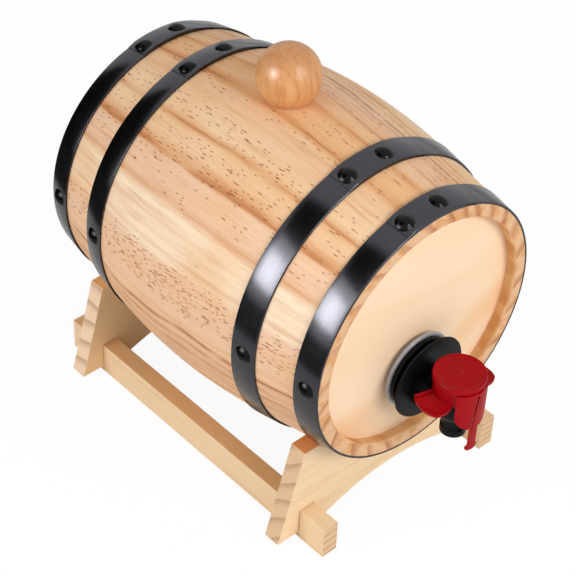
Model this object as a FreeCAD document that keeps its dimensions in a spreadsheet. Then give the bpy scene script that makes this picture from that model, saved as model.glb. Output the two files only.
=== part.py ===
import FreeCAD, Part
import math
import os

import Sketcher

# Countertop oak cask with a bag of drink inside, a press tap and a cradle stand.
#
# Millimetres, +Z up, the cask's axis along Y with the tap towards -Y. The origin lies on
# the standing surface, under the centre of the bounding box. Every driving size is a cell
# of the sheet "Sizes"; every piece is one object whose sizes and place are bound to it.

# name: (value, what it measures)
SIZES = {
    # cask
    "half_length": (106.45, "cask middle to the end of a stave"),
    "bilge_radius": (88.5, "staves, outside, at the middle"),
    "shoulder_reach": (53.3, "cask middle to where the staves run straight"),
    "shoulder_radius": (83.93, "staves, outside, at the shoulder"),
    "end_radius": (74.8, "staves, outside, at the end"),
    "stave_thickness": (8.0, "staves, square to the cask's axis"),
    "chime_bevel": (1.0, "bevel inside the stave ends"),
    "croze_depth": (2.0, "groove in the staves for the heads"),
    "head_recess": (6.9, "stave end to the face of a head"),
    "head_thickness": (8.0, "thickness of a head"),
    # hoops
    "hoop_thickness": (1.2, "hoop strip"),
    "chime_hoop_width": (14.55, "hoop at the stave ends"),
    "quarter_hoop_width": (14.6, "hoop beside the bilge"),
    "lap_start": (-16.0, "where the hoop's lap starts, degrees from the top"),
    "lap_angle": (25.0, "how far the hoop's ends overlap, degrees"),
    "rivet_radius": (5.0, "rivet head"),
    "rivet_height": (2.2, "rivet head"),
    "rivet_shank_radius": (1.5, "rivet shank"),
    "rivet_hole_gap": (0.3, "rivet shank in the hoop's hole"),
    "lap_rivet_first": (-12.0, "first rivet of the lap, degrees from the top"),
    "lap_rivet_second": (5.0, "second rivet of the lap, degrees from the top"),
    "side_rivet": (84.5, "rivet at each side, degrees from the middle of the lap"),
    # stand
    "axis_height": (121.4, "standing surface to the cask's axis"),
    "board_place": (84.7, "cask middle to the middle of a cradle board"),
    "board_thickness": (10.4, "cradle board"),
    "board_top_reach": (65.2, "half width across the top of a board"),
    "board_foot_reach": (81.65, "half width across the foot of a board"),
    "board_top_drop": (57.6, "cask's axis down to the top of a board"),
    "board_lift": (4.4, "standing surface to the underside of a board"),
    "arch_reach": (48.0, "half width of the arch under a board"),
    "arch_rise": (9.3, "height of that arch"),
    "saddle_gap": (0.3, "running gap between saddle and staves"),
    "rail_reach": (66.4, "middle to the outer face of a rail"),
    "rail_width": (10.3, "rail"),
    "rail_height": (20.6, "rail"),
    "rail_half_length": (108.8, "rail"),
    "notch_gap": (0.2, "play of a rail in its notch"),
    "dowel_radius": (2.5, "dowel that pins a rail to a board"),
    "dowel_below": (17.0, "dowel inside the rail"),
    "dowel_above": (9.0, "dowel inside the board"),
    # bung
    "bung_place": (2.0, "cask middle to the bung, towards the back"),
    "knob_radius": (17.2, "turned ball of the bung"),
    "knob_lift": (12.6, "bilge to the centre of the ball"),
    "knob_foot_radius": (12.9, "foot ring under the ball"),
    "knob_foot_height": (1.6, "foot ring under the ball"),
    "knob_seat_gap": (0.3, "foot ring above the bilge"),
    "bung_radius": (9.0, "cork at the bilge"),
    "bung_taper": (0.5, "how much thinner the cork is at its end"),
    "bung_length": (12.5, "cork below the foot ring"),
    "bung_clearance": (0.06, "cork in the bung hole"),
    "tenon_radius": (5.0, "wooden tenon inside the cork"),
    "tenon_length": (9.0, "wooden tenon inside the cork"),
    # bag
    "bag_gap": (0.3, "bag to the wood below it"),
    "bag_headroom": (9.0, "bag to the wood above it"),
    # gland
    "tap_drop": (26.8, "cask's axis down to the tap's inlet axis"),
    "gland_radius": (17.6, "neck of the bag's gland"),
    "gland_bore": (15.9, "bore of the gland"),
    "weld_flange_radius": (27.0, "gland flange inside the bag"),
    "weld_flange_thickness": (2.0, "gland flange inside the bag"),
    "ring_radius": (22.3, "lip of the retaining ring"),
    "ring_depth": (4.8, "retaining ring in front of the head"),
    "ring_round": (0.8, "rounded edge of the lip"),
    "ring_lip": (1.8, "thickness of the lip"),
    "ring_hub_radius": (18.6, "hub between the head and the lip"),
    "running_gap": (0.06, "turning parts of the tap, on the radius"),
    "face_gap": (0.1, "turning parts of the tap, face to face"),
    # tap body, heights and drops from the inlet axis
    "tap_reach": (32.35, "head's face to the valve's axis"),
    "spigot_length": (12.9, "spigot behind the rear flange"),
    "rear_flange_radius": (20.8, "rear flange"),
    "rear_flange_thickness": (2.6, "rear flange"),
    "flange_space": (4.05, "groove between the flanges"),
    "waist_radius": (17.0, "body in that groove"),
    "front_flange_radius": (24.2, "front flange"),
    "front_flange_thickness": (1.2, "front flange"),
    "inlet_bore": (13.0, "hollow of the spigot"),
    "flange_wall": (2.0, "front wall of that hollow"),
    "seal_radius": (0.8, "section of the spigot's seal"),
    "arm_radius": (12.0, "arm from the flange to the barrel"),
    "arm_drop": (6.2, "down to the arm's axis"),
    "arm_round_place": (10.5, "valve's axis to the centre of the arm's round end"),
    "arm_flat": (2.9, "up to the arm's flat top"),
    "channel_radius": (3.8, "channel through the arm"),
    "channel_drop": (2.7, "down to the channel's axis"),
    "barrel_radius": (12.6, "barrel below the collar"),
    "barrel_shoulder": (4.9, "up to the barrel's shoulder"),
    "barrel_skirt_drop": (4.2, "down to where the barrel narrows"),
    "barrel_curve": (9.0, "curve of the narrowing"),
    "barrel_waist": (8.2, "barrel at the end of that curve"),
    "barrel_waist_drop": (9.2, "down to that end"),
    "spout_top_drop": (12.2, "down to the top of the spout"),
    "rim_radius": (11.0, "rim of the barrel, inside the collar"),
    "rim_top": (11.6, "up to the top of that rim"),
    "bore_radius": (8.6, "bore of the barrel"),
    "seat_drop": (9.2, "down to the underside of the valve seat"),
    "seat_thickness": (2.0, "valve seat"),
    "seat_bore": (3.8, "hole in the valve seat"),
    "spout_radius": (6.4, "spout"),
    "spout_bore": (5.4, "spout"),
    "spout_drop": (22.2, "down to the spout's mouth"),
    "lip_radius": (7.1, "collar at the spout's mouth"),
    "lip_height": (4.5, "collar at the spout's mouth"),
    # winged collar
    "neck_radius": (13.05, "collar under the button"),
    "neck_top": (14.1, "up to the top of the collar"),
    "snap_gap": (0.05, "collar round the barrel's rim"),
    "collar_mouth": (9.4, "hole in the collar's top"),
    "wing_thickness": (1.9, "wings"),
    "wing_droop": (7.0, "tilt of the wings, degrees"),
    "wing_bite": (0.85, "root of a wing inside the collar"),
    "wing_back_angle": (37.0, "back of a wing's root, degrees from the side"),
    "wing_front_angle": (33.0, "front of a wing's root, degrees from the side"),
    "wing_tip_back": (11.4, "tip of a wing behind the valve's axis"),
    "wing_tip_reach": (19.75, "tip of a wing beside the valve's axis"),
    "wing_front": (5.8, "front corner of a wing before the valve's axis"),
    "wing_front_reach": (21.5, "front corner of a wing beside the valve's axis"),
    "wing_side_curve": (17.4, "outer edge of a wing"),
    "wing_front_curve": (10.0, "front edge of a wing"),
    "wing_rib_width": (1.5, "rib along the back edge of a wing"),
    "wing_rib_rise": (1.2, "that rib above the wing"),
    # button and valve
    "press_travel": (2.8, "how far the button goes down"),
    "button_radius": (14.1, "button"),
    "button_top": (18.4, "up to the button's rim"),
    "button_bottom": (14.4, "up to the lower edge of the button's skirt"),
    "button_round": (0.8, "rounded edge of the button"),
    "dish_depth": (0.4, "dish in the button's top"),
    "dish_radius": (11.6, "floor of the dish"),
    "rim_width": (1.1, "slope from the dish to the rim"),
    "nipple_radius": (1.1, "centre mark on the button"),
    "nipple_height": (0.5, "centre mark on the button"),
    "skirt_gap": (0.3, "button's skirt outside the collar"),
    "boss_radius": (3.6, "boss under the button"),
    "boss_height": (0.9, "boss under the button"),
    "stem_radius": (2.2, "valve stem"),
    "stem_grip": (1.1, "stem inside the button"),
    "plug_radius": (4.7, "plug under the seat"),
    "plug_thickness": (2.1, "plug under the seat"),
    "plug_seal_thickness": (1.1, "rubber washer on the plug"),
    "dome_foot_thickness": (0.8, "foot of the return dome"),
    "dome_wall": (0.7, "wall of the return dome"),
    "dome_crown_radius": (4.6, "crown of the return dome"),
    "dome_gap": (0.1, "crown to the button's boss and stem"),
    # tamper strip
    "strip_gap": (0.12, "strip outside the button"),
    "strip_thickness": (0.65, "tamper strip"),
    "strip_angle": (104.0, "how far the strip wraps round, degrees"),
    "strip_top": (14.0, "up to the strip's top edge"),
    "strip_shoulder": (0.5, "down to where the strip rounds off"),
    "strip_curve": (9.6, "rounded lower corners of the strip"),
    "tail_top_drop": (9.4, "down to the top of the tail"),
    "tail_offset": (1.6, "tail to the left of the middle"),
    "tail_half_width": (2.2, "tail of the strip"),
    "tail_foot_half_width": (3.6, "foot of the tail"),
    "tail_foot_height": (4.4, "foot of the tail"),
    "tail_foot_round": (1.9, "rounded corners of the foot"),
    "tail_drop": (24.8, "down to the end of the tail"),
    "slot_width": (0.7, "tear slot in the strip"),
    "slot_top": (12.8, "up to the tear slot's end"),
    "slot_top_reach": (0.8, "tear slot's upper end, left of the middle"),
    "slot_foot_reach": (3.4, "tear slot's lower end, left of the middle"),
    "bridge_top": (10.4, "up to the top of the break-off bridges"),
    "bridge_height": (1.6, "break-off bridges"),
    "bridge_width": (1.4, "break-off bridges"),
    "bridge_gap": (0.3, "bridges outside the collar"),
    "bridge_spread": (36.0, "side bridges, degrees from the middle one"),
}

STAVE_COUNT = 18
OVERRUN = 1
OUT_FOLDER = "parts"


class Term:
    """A size worked out from the sheet: its value now and the expression that gives it."""

    def __init__(self, value, text):
        self.value = value
        self.text = text

    def __add__(self, other):
        other = as_term(other)
        return Term(self.value + other.value, f"({self.text} + {other.text})")

    def __sub__(self, other):
        other = as_term(other)
        return Term(self.value - other.value, f"({self.text} - {other.text})")

    def __mul__(self, other):
        other = as_term(other)
        return Term(self.value * other.value, f"({self.text} * {other.text})")

    def __truediv__(self, other):
        other = as_term(other)
        return Term(self.value / other.value, f"({self.text} / {other.text})")

    def __neg__(self):
        return self * -1

    def __radd__(self, other):
        return as_term(other) + self

    def __rsub__(self, other):
        return as_term(other) - self

    def __rmul__(self, other):
        return self * other


def as_term(number):
    """Take a Term as it is, and a plain number as a Term."""
    if isinstance(number, Term):
        return number
    return Term(number, f"({number})")


def root(term):
    """Square root of a Term."""
    return Term(math.sqrt(term.value), f"sqrt({term.text})")


def sine(angle):
    """Sine of a Term in degrees."""
    return Term(math.sin(math.radians(angle.value)), f"sin({angle.text} * 1 deg)")


def cosine(angle):
    """Cosine of a Term in degrees."""
    return Term(math.cos(math.radians(angle.value)), f"cos({angle.text} * 1 deg)")


def arcsine(ratio):
    """Angle in degrees whose sine is a Term."""
    return Term(math.degrees(math.asin(ratio.value)), f"(asin({ratio.text}) / 1 deg)")


def arctangent(slope):
    """Angle in degrees whose tangent is a Term."""
    return Term(math.degrees(math.atan(slope.value)), f"(atan({slope.text}) / 1 deg)")


def size(name):
    """The size of that name, as a Term."""
    return Term(SIZES[name][0], f"Sizes.{name}")


doc = FreeCAD.newDocument("oak_cask_dispenser")


def write_sheet():
    """Fill the sheet: a name, a value with its alias, and a note in each row."""
    sheet = doc.addObject("Spreadsheet::Sheet", "Sizes")
    for row, (name, (value, note)) in enumerate(SIZES.items(), start=1):
        sheet.set(f"A{row}", name)
        sheet.set(f"B{row}", str(value))
        sheet.setAlias(f"B{row}", name)
        sheet.set(f"C{row}", note)
    doc.recompute()


# ---------------------------------------------------------------- placing and drawing


def place(item, across=0, along=0, up=0):
    """Bind an object's position to three Terms."""
    for axis, term in zip("xyz", (across, along, up)):
        item.setExpression(f"Placement.Base.{axis}", as_term(term).text)


def turn(item, axis, angle):
    """Bind an object's rotation about one axis to a Term in degrees."""
    item.Placement = FreeCAD.Placement(item.Placement.Base, FreeCAD.Rotation(axis, 1.0))
    item.setExpression("Placement.Rotation.Angle", as_term(angle).text)


def new_body(name):
    """A PartDesign body whose label is the node's name."""
    body = doc.addObject("PartDesign::Body", name)
    body.Label = name
    return body


def plane_of(body, role):
    """One of a body's own origin planes, such as XZ_Plane."""
    return next(item for item in body.Origin.OriginFeatures if item.Role == role)


def new_sketch(body, role, name):
    """An empty sketch on one of the body's origin planes."""
    sketch = body.newObject("Sketcher::SketchObject", f"{body.Name}_{name}")
    sketch.AttachmentSupport = [(plane_of(body, role), "")]
    sketch.MapMode = "FlatFace"
    return sketch


def vector_of(corner):
    """Where a corner lies now."""
    return FreeCAD.Vector(corner[0].value, corner[1].value, 0)


def arc_between(start, end, radius):
    """Arc of the signed radius from start to end: positive bulges to the left.

    The arc is drawn anticlockwise, so a left bulge runs from end to start.
    """
    chord = end - start
    left = FreeCAD.Vector(-chord.y, chord.x, 0)
    left.normalize()
    reach = abs(radius)
    drop = math.sqrt(max(reach * reach - chord.Length ** 2 / 4, 0))
    middle = (start + end) * 0.5 - left * math.copysign(drop, radius)
    if radius > 0:
        start, end = end, start
    turns = [math.atan2(point.y - middle.y, point.x - middle.x) for point in (start, end)]
    circle = Part.Circle(middle, FreeCAD.Vector(0, 0, 1), reach)
    return Part.ArcOfCircle(circle, turns[0], turns[1])


def fix_point(sketch, edge, end, corner):
    """Tie one end of an edge to its two coordinates."""
    axes = (("DistanceX", -2), ("DistanceY", -1))
    for (kind, axis_line), term in zip(axes, corner[:2]):
        if term.text == "(0)":
            sketch.addConstraint(Sketcher.Constraint("PointOnObject", edge, end, axis_line))
        else:
            index = sketch.addConstraint(
                Sketcher.Constraint(kind, -1, 1, edge, end, term.value))
            sketch.setExpression(f"Constraints[{index}]", term.text)


def draw_outline(sketch, corners):
    """Draw a closed outline.

    A corner is (across, up) or (across, up, radius): with a radius, the edge that leaves
    it is an arc, bulging left for a positive radius and right for a negative one.
    """
    corners = [tuple(as_term(value) for value in corner) for corner in corners]
    starts = []
    ends = []
    for number, corner in enumerate(corners):
        here = vector_of(corner)
        there = vector_of(corners[(number + 1) % len(corners)])
        if len(corner) == 3:
            curve = arc_between(here, there, corner[2].value)
            edge = sketch.addGeometry(curve, False)
            first = corner[2].value < 0
            index = sketch.addConstraint(
                Sketcher.Constraint("Radius", edge, abs(corner[2].value)))
            sketch.setExpression(f"Constraints[{index}]", f"abs({corner[2].text})")
        else:
            edge = sketch.addGeometry(Part.LineSegment(here, there), False)
            first = True
        starts.append((edge, 1 if first else 2))
        ends.append((edge, 2 if first else 1))
    for number, corner in enumerate(corners):
        sketch.addConstraint(
            Sketcher.Constraint("Coincident", *ends[number - 1], *starts[number]))
        fix_point(sketch, *starts[number], corner)


def draw_circle(sketch, across, up, radius):
    """Draw a circle tied to its centre and radius."""
    across, up, radius = as_term(across), as_term(up), as_term(radius)
    middle = FreeCAD.Vector(across.value, up.value, 0)
    circle = Part.Circle(middle, FreeCAD.Vector(0, 0, 1), radius.value)
    edge = sketch.addGeometry(circle, False)
    fix_point(sketch, edge, 3, (across, up))
    index = sketch.addConstraint(Sketcher.Constraint("Radius", edge, radius.value))
    sketch.setExpression(f"Constraints[{index}]", radius.text)


def revolve(body, sketch, kind="Revolution", axis="V_Axis", angle=None):
    """Turn a sketch about one of its axes, all the way or evenly about its plane."""
    feature = body.newObject(f"PartDesign::{kind}", f"{sketch.Name}_{kind}")
    feature.Profile = sketch
    feature.ReferenceAxis = (sketch, [axis])
    if angle is None:
        feature.Angle = 360
    else:
        feature.Midplane = True
        feature.setExpression("Angle", angle.text)
    return feature


def pad(body, sketch, length, symmetric=True):
    """Thicken a sketch, evenly about its plane unless told otherwise."""
    feature = body.newObject("PartDesign::Pad", f"{sketch.Name}_Pad")
    feature.Profile = sketch
    feature.Midplane = symmetric
    feature.setExpression("Length", as_term(length).text)
    return feature


def cut_through(body, sketch):
    """Cut a sketch through the whole body, both ways from its plane."""
    feature = body.newObject("PartDesign::Pocket", f"{sketch.Name}_Pocket")
    feature.Profile = sketch
    feature.Midplane = True
    feature.Type = 1
    return feature


def cut_by(body, sketch, length):
    """Cut a sketch to a length, half of it each way from its plane."""
    feature = body.newObject("PartDesign::Pocket", f"{sketch.Name}_Pocket")
    feature.Profile = sketch
    feature.Midplane = True
    feature.setExpression("Length", as_term(length).text)
    return feature


def shift_sketch(sketch, along_x=0, along_y=0, along_normal=0):
    """Move a sketch from its plane, in its own directions."""
    for axis, term in zip("xyz", (along_x, along_y, along_normal)):
        sketch.setExpression(f"AttachmentOffset.Base.{axis}", as_term(term).text)


def tilt_sketch(sketch, axis, angle):
    """Turn a sketch about one of its own axes by a Term in degrees."""
    sketch.AttachmentOffset = FreeCAD.Placement(
        FreeCAD.Vector(), FreeCAD.Rotation(axis, 1.0))
    sketch.setExpression("AttachmentOffset.Rotation.Angle", angle.text)


# ------------------------------------------------------------- places shared by pieces

FRONT = -1
REAR = 1

head_face = size("half_length") - size("head_recess")
head_back = head_face - size("head_thickness")
arm_face = size("ring_depth") + size("face_gap")
flange_front = (arm_face + size("rear_flange_thickness") + size("flange_space")
                + size("front_flange_thickness"))
strip_outer = size("button_radius") + size("strip_gap") + size("strip_thickness")
front_reach = head_face + size("tap_reach") + strip_outer
cask_place = (front_reach - size("rail_half_length")) / 2
button_under = size("neck_top") + size("press_travel") + size("skirt_gap")
cask_height = size("axis_height")
inlet_height = cask_height - size("tap_drop")
valve_place = cask_place - head_face - size("tap_reach")
cone_slope = ((size("shoulder_radius") - size("end_radius"))
              / (size("half_length") - size("shoulder_reach")))
lap_middle = size("lap_start") + size("lap_angle") / 2
bilge_rise = size("bilge_radius") - size("shoulder_radius")
bilge_curve = ((size("shoulder_reach") * size("shoulder_reach") + bilge_rise * bilge_rise)
               / (bilge_rise * 2))


def wood_radius(reach):
    """Outside radius of the straight part of the staves, at a distance from the middle."""
    return size("end_radius") + (size("half_length") - reach) * cone_slope


def inner_radius(reach):
    """Inside radius of the straight part of the staves."""
    return wood_radius(reach) - size("stave_thickness")


# ------------------------------------------------------------------------------- stand


def cradle_board(name, side):
    """Board with a saddle for the cask, notches for the rails and an arch below."""
    body = new_body(name)
    top = -size("board_top_drop")
    under = size("board_lift") - size("axis_height")
    inner_edge = size("board_place") - size("board_thickness") / 2
    saddle = wood_radius(inner_edge) + size("saddle_gap")
    saddle_reach = root(saddle * saddle - size("board_top_drop") * size("board_top_drop"))
    notch_out = size("rail_reach") + size("notch_gap")
    notch_in = size("rail_reach") - size("rail_width") - size("notch_gap")
    notch_top = size("rail_height") + size("notch_gap") - size("axis_height")
    arch = size("arch_reach")
    rise = size("arch_rise")
    arch_curve = (arch * arch + rise * rise) / (rise * 2)
    sketch = new_sketch(body, "XZ_Plane", "outline")
    draw_outline(sketch, [
        (-size("board_foot_reach"), under),
        (-size("board_top_reach"), top),
        (-saddle_reach, top, -saddle),
        (saddle_reach, top),
        (size("board_top_reach"), top),
        (size("board_foot_reach"), under),
        (notch_out, under),
        (notch_out, notch_top),
        (notch_in, notch_top),
        (notch_in, under),
        (arch, under, -arch_curve),
        (-arch, under),
        (-notch_in, under),
        (-notch_in, notch_top),
        (-notch_out, notch_top),
        (-notch_out, under),
    ])
    pad(body, sketch, size("board_thickness"))
    holes = new_sketch(body, "XY_Plane", "dowel_holes")
    shift_sketch(holes, along_normal=notch_top)
    middle = size("rail_reach") - size("rail_width") / 2
    draw_circle(holes, -middle, 0, size("dowel_radius"))
    draw_circle(holes, middle, 0, size("dowel_radius"))
    cut_by(body, holes, size("dowel_above") * 2)
    place(body, 0, cask_place + size("board_place") * side, cask_height)


def rail(name, side):
    """Rail that runs through the notches and stands on the surface."""
    body = new_body(name)
    sketch = new_sketch(body, "XZ_Plane", "section")
    half = size("rail_width") / 2
    draw_outline(sketch, [
        (-half, 0), (-half, size("rail_height")), (half, size("rail_height")), (half, 0)])
    pad(body, sketch, size("rail_half_length") * 2)
    holes = new_sketch(body, "XY_Plane", "dowel_holes")
    shift_sketch(holes, along_normal=size("rail_height"))
    draw_circle(holes, 0, -size("board_place"), size("dowel_radius"))
    draw_circle(holes, 0, size("board_place"), size("dowel_radius"))
    cut_by(body, holes, size("dowel_below") * 2)
    place(body, (size("rail_reach") - half) * side, cask_place, 0)


def stand_dowels():
    """Four dowels that pin the rails to the boards."""
    pins = []
    middle = size("rail_reach") - size("rail_width") / 2
    for side in (-1, 1):
        for end in (FRONT, REAR):
            pin = doc.addObject("Part::Cylinder", "dowel")
            pin.setExpression("Radius", size("dowel_radius").text)
            length = size("dowel_below") + size("dowel_above")
            pin.setExpression("Height", length.text)
            place(pin, middle * side, cask_place + size("board_place") * end,
                  size("rail_height") - size("dowel_below"))
            pins.append(pin)
    group("stand_dowels", pins)


def group(name, members):
    """One node of separate solids."""
    compound = doc.addObject("Part::Compound", name)
    compound.Label = name
    compound.Links = members
    return compound


# -------------------------------------------------------------------------------- cask


def stave_outline():
    """Section of a stave: straight ends, a bowed middle, and a croze at each end."""
    half = size("half_length")
    wall = size("stave_thickness")
    reach = size("shoulder_reach")
    bevel = size("chime_bevel")
    end_in = size("end_radius") - wall
    croze = size("croze_depth")
    corners = [
        (-half, size("end_radius")),
        (-reach, size("shoulder_radius"), bilge_curve),
        (reach, size("shoulder_radius")),
        (half, size("end_radius")),
        (half, end_in + bevel),
        (half - bevel, inner_radius(half - bevel)),
        (head_face, inner_radius(head_face)),
        (head_face, inner_radius(head_face) + croze),
        (head_back, inner_radius(head_face) + croze),
        (head_back, inner_radius(head_back)),
        (reach, size("shoulder_radius") - wall, -bilge_curve),
    ]
    mirrored = [
        (-head_back, inner_radius(head_back)),
        (-head_back, inner_radius(head_face) + croze),
        (-head_face, inner_radius(head_face) + croze),
        (-head_face, inner_radius(head_face)),
        (bevel - half, inner_radius(half - bevel)),
        (-half, end_in + bevel),
    ]
    return corners + [(-reach, size("shoulder_radius") - wall)] + mirrored


def stave(number):
    """One of the staves; the first is at the top and has the bung hole."""
    name = "bung_stave" if number == 0 else f"stave_{number + 1:02d}"
    body = new_body(name)
    sketch = new_sketch(body, "YZ_Plane", "section")
    draw_outline(sketch, stave_outline())
    width = Term(360 / STAVE_COUNT, f"({360 / STAVE_COUNT})")
    revolve(body, sketch, axis="H_Axis", angle=width)
    if number == 0:
        hole = new_sketch(body, "XY_Plane", "bung_hole")
        shift_sketch(hole, along_normal=size("bilge_radius"))
        draw_circle(hole, 0, size("bung_place"),
                    size("bung_radius") + size("bung_clearance"))
        cut_by(body, hole, size("stave_thickness") * 4)
    place(body, 0, cask_place, cask_height)
    turn(body, FreeCAD.Vector(0, 1, 0), Term(360 / STAVE_COUNT * number,
                                             f"({360 / STAVE_COUNT * number})"))


def cask_head(name, side):
    """Round head in its croze; the front one has the hole for the gland."""
    body = new_body(name)
    sketch = new_sketch(body, "XZ_Plane", "face")
    draw_circle(sketch, 0, 0, inner_radius(head_face) + size("croze_depth"))
    if side == FRONT:
        draw_circle(sketch, 0, -size("tap_drop"), size("gland_radius"))
    pad(body, sketch, size("head_thickness"))
    middle = head_face - size("head_thickness") / 2
    place(body, 0, cask_place + middle * side, cask_height)


def hoop(name, side, near, width):
    """Hoop strip round the staves, its ends lapped and riveted at the top."""
    body = new_body(name)
    thickness = size("hoop_thickness")
    far = near + width

    def band(inside):
        return [
            (near * side, wood_radius(near) + inside),
            (far * side, wood_radius(far) + inside),
            (far * side, wood_radius(far) + inside + thickness),
            (near * side, wood_radius(near) + inside + thickness),
        ]

    ring = new_sketch(body, "YZ_Plane", "ring")
    draw_outline(ring, band(as_term(0)))
    revolve(body, ring, axis="H_Axis")
    lap = new_sketch(body, "YZ_Plane", "lap")
    draw_outline(lap, band(thickness))
    tilt_sketch(lap, FreeCAD.Vector(1, 0, 0), -lap_middle)
    revolve(body, lap, axis="H_Axis", angle=size("lap_angle"))
    place(body, 0, cask_place, cask_height)
    rivets(name.replace("hoop", "rivets"), body, near + width / 2, side)


def rivet(reach, side, angle, base):
    """Dome with a shank down to the wood, square to the hoop.

    Args: distance from the cask's middle, end of the cask, angle from the top, and radius
    of the hoop's surface there.
    """
    height = size("rivet_height")
    foot = size("rivet_radius")
    ball = (foot * foot + height * height) / (height * 2)
    lean = arctangent(cone_slope)
    dome = doc.addObject("Part::Sphere", "rivet_dome")
    dome.setExpression("Radius", ball.text)
    dome.setExpression("Angle1", arcsine((ball - height) / ball).text)
    dome.Angle2 = 90
    depth = ball - height
    place(dome, 0, -depth * sine(lean) * side, base - depth * cosine(lean))
    turn(dome, FreeCAD.Vector(1, 0, 0), -lean * side)
    shank = doc.addObject("Part::Cylinder", "rivet_shank")
    shank.setExpression("Radius", size("rivet_shank_radius").text)
    length = (base - wood_radius(reach)) * cosine(lean) - size("face_gap")
    shank.setExpression("Height", length.text)
    place(shank, 0, -length * sine(lean) * side, base - length * cosine(lean))
    turn(shank, FreeCAD.Vector(1, 0, 0), -lean * side)
    whole = doc.addObject("Part::Fuse", "rivet")
    whole.Base = dome
    whole.Tool = shank
    place(whole, 0, cask_place + reach * side, cask_height)
    turn(whole, FreeCAD.Vector(0, 1, 0), angle)
    return whole


def rivets(name, body, reach, side):
    """The hoop's rivets: two through the lap and one at each side."""
    outer = wood_radius(reach) + size("hoop_thickness")
    spots = [
        (size("lap_rivet_first"), outer + size("hoop_thickness")),
        (size("lap_rivet_second"), outer + size("hoop_thickness")),
        (lap_middle + size("side_rivet"), outer),
        (lap_middle - size("side_rivet"), outer),
    ]
    heads = []
    for angle, base in spots:
        heads.append(rivet(reach, side, angle, base))
        hole = new_sketch(body, "XY_Plane", f"hole_{len(heads)}")
        tilt_sketch(hole, FreeCAD.Vector(0, 1, 0), angle)
        draw_circle(hole, 0, reach * side,
                    size("rivet_shank_radius") + size("rivet_hole_gap"))
        cut = body.newObject("PartDesign::Pocket", f"{hole.Name}_Pocket")
        cut.Profile = hole
        cut.Type = 1
        cut.Reversed = True
    group(name, heads)


# ------------------------------------------------------------------- bag, bung, gland


def liner_bag():
    """Full bag that lies in the cask, clear of the bung above it."""
    body = new_body("liner_bag")
    shrink = (size("bag_headroom") + size("bag_gap")) / 2
    reach = size("shoulder_reach")
    rear = head_back - size("bag_gap")
    front = size("weld_flange_thickness") + size("bag_gap") - head_back
    wall = size("stave_thickness") + shrink
    sketch = new_sketch(body, "YZ_Plane", "section")
    draw_outline(sketch, [
        (front, 0),
        (front, wood_radius(-front) - wall),
        (-reach, size("shoulder_radius") - wall, bilge_curve),
        (reach, size("shoulder_radius") - wall),
        (rear, wood_radius(rear) - wall),
        (rear, 0),
    ])
    revolve(body, sketch, axis="H_Axis")
    place(body, 0, cask_place, cask_height - (shrink - size("bag_gap")))


def bung_profile_base():
    """Height of the knob's foot ring above the cask's axis."""
    return size("bilge_radius") + size("knob_seat_gap")


def bung_knob():
    """Turned ball with a foot ring, and a tenon that holds the cork."""
    body = new_body("bung_knob")
    base = bung_profile_base()
    middle = size("bilge_radius") + size("knob_lift")
    foot = size("knob_foot_radius")
    foot_top = base + size("knob_foot_height")
    drop = middle - foot_top
    ball = size("knob_radius")
    throat = root(ball * ball - drop * drop)
    sketch = new_sketch(body, "XZ_Plane", "profile")
    draw_outline(sketch, [
        (0, base - size("tenon_length")),
        (size("tenon_radius"), base - size("tenon_length")),
        (size("tenon_radius"), base),
        (foot, base),
        (foot, foot_top),
        (throat, foot_top, -ball),
        (ball, middle, -ball),
        (0, middle + ball),
    ])
    revolve(body, sketch)
    place(body, 0, cask_place + size("bung_place"), cask_height)


def bung_cork():
    """Tapered cork round the knob's tenon."""
    body = new_body("bung_cork")
    base = bung_profile_base()
    end = base - size("bung_length")
    sketch = new_sketch(body, "XZ_Plane", "profile")
    draw_outline(sketch, [
        (0, end),
        (size("bung_radius") - size("bung_taper"), end),
        (size("bung_radius"), base),
        (size("tenon_radius"), base),
        (size("tenon_radius"), base - size("tenon_length")),
        (0, base - size("tenon_length")),
    ])
    revolve(body, sketch)
    place(body, 0, cask_place + size("bung_place"), cask_height)


def gland_neck():
    """Neck of the bag, through the front head, with its flange inside."""
    body = new_body("gland_neck")
    front = -head_face - size("ring_depth")
    inside = -head_back
    sketch = new_sketch(body, "YZ_Plane", "section")
    draw_outline(sketch, [
        (front, size("gland_bore")),
        (front, size("gland_radius")),
        (inside, size("gland_radius")),
        (inside, size("weld_flange_radius")),
        (inside + size("weld_flange_thickness"), size("weld_flange_radius")),
        (inside + size("weld_flange_thickness"), size("gland_bore")),
    ])
    revolve(body, sketch, axis="H_Axis")
    place(body, 0, cask_place, inlet_height)


def gland_ring():
    """Ring that clamps the neck to the head, with a lip that stands off the wood."""
    body = new_body("gland_ring")
    back = -head_face
    front = back - size("ring_depth")
    lip_back = front + size("ring_lip")
    outer = size("ring_radius")
    edge = size("ring_round")
    sketch = new_sketch(body, "YZ_Plane", "section")
    draw_outline(sketch, [
        (back, size("gland_radius")),
        (front, size("gland_radius")),
        (front, outer - edge, edge),
        (front + edge, outer),
        (lip_back, outer),
        (lip_back, size("ring_hub_radius")),
        (back, size("ring_hub_radius")),
    ])
    revolve(body, sketch, axis="H_Axis")
    place(body, 0, cask_place, inlet_height)


# --------------------------------------------------------------------------------- tap


def spigot_radius():
    """Spigot, running in the gland."""
    return size("gland_bore") - size("running_gap")


def spigot_start():
    """Valve's axis back to the rear flange's back face."""
    return size("tap_reach") - arm_face


def seal_place():
    """Valve's axis back to the middle of the spigot's seal."""
    return spigot_start() + size("spigot_length") / 2


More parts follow.
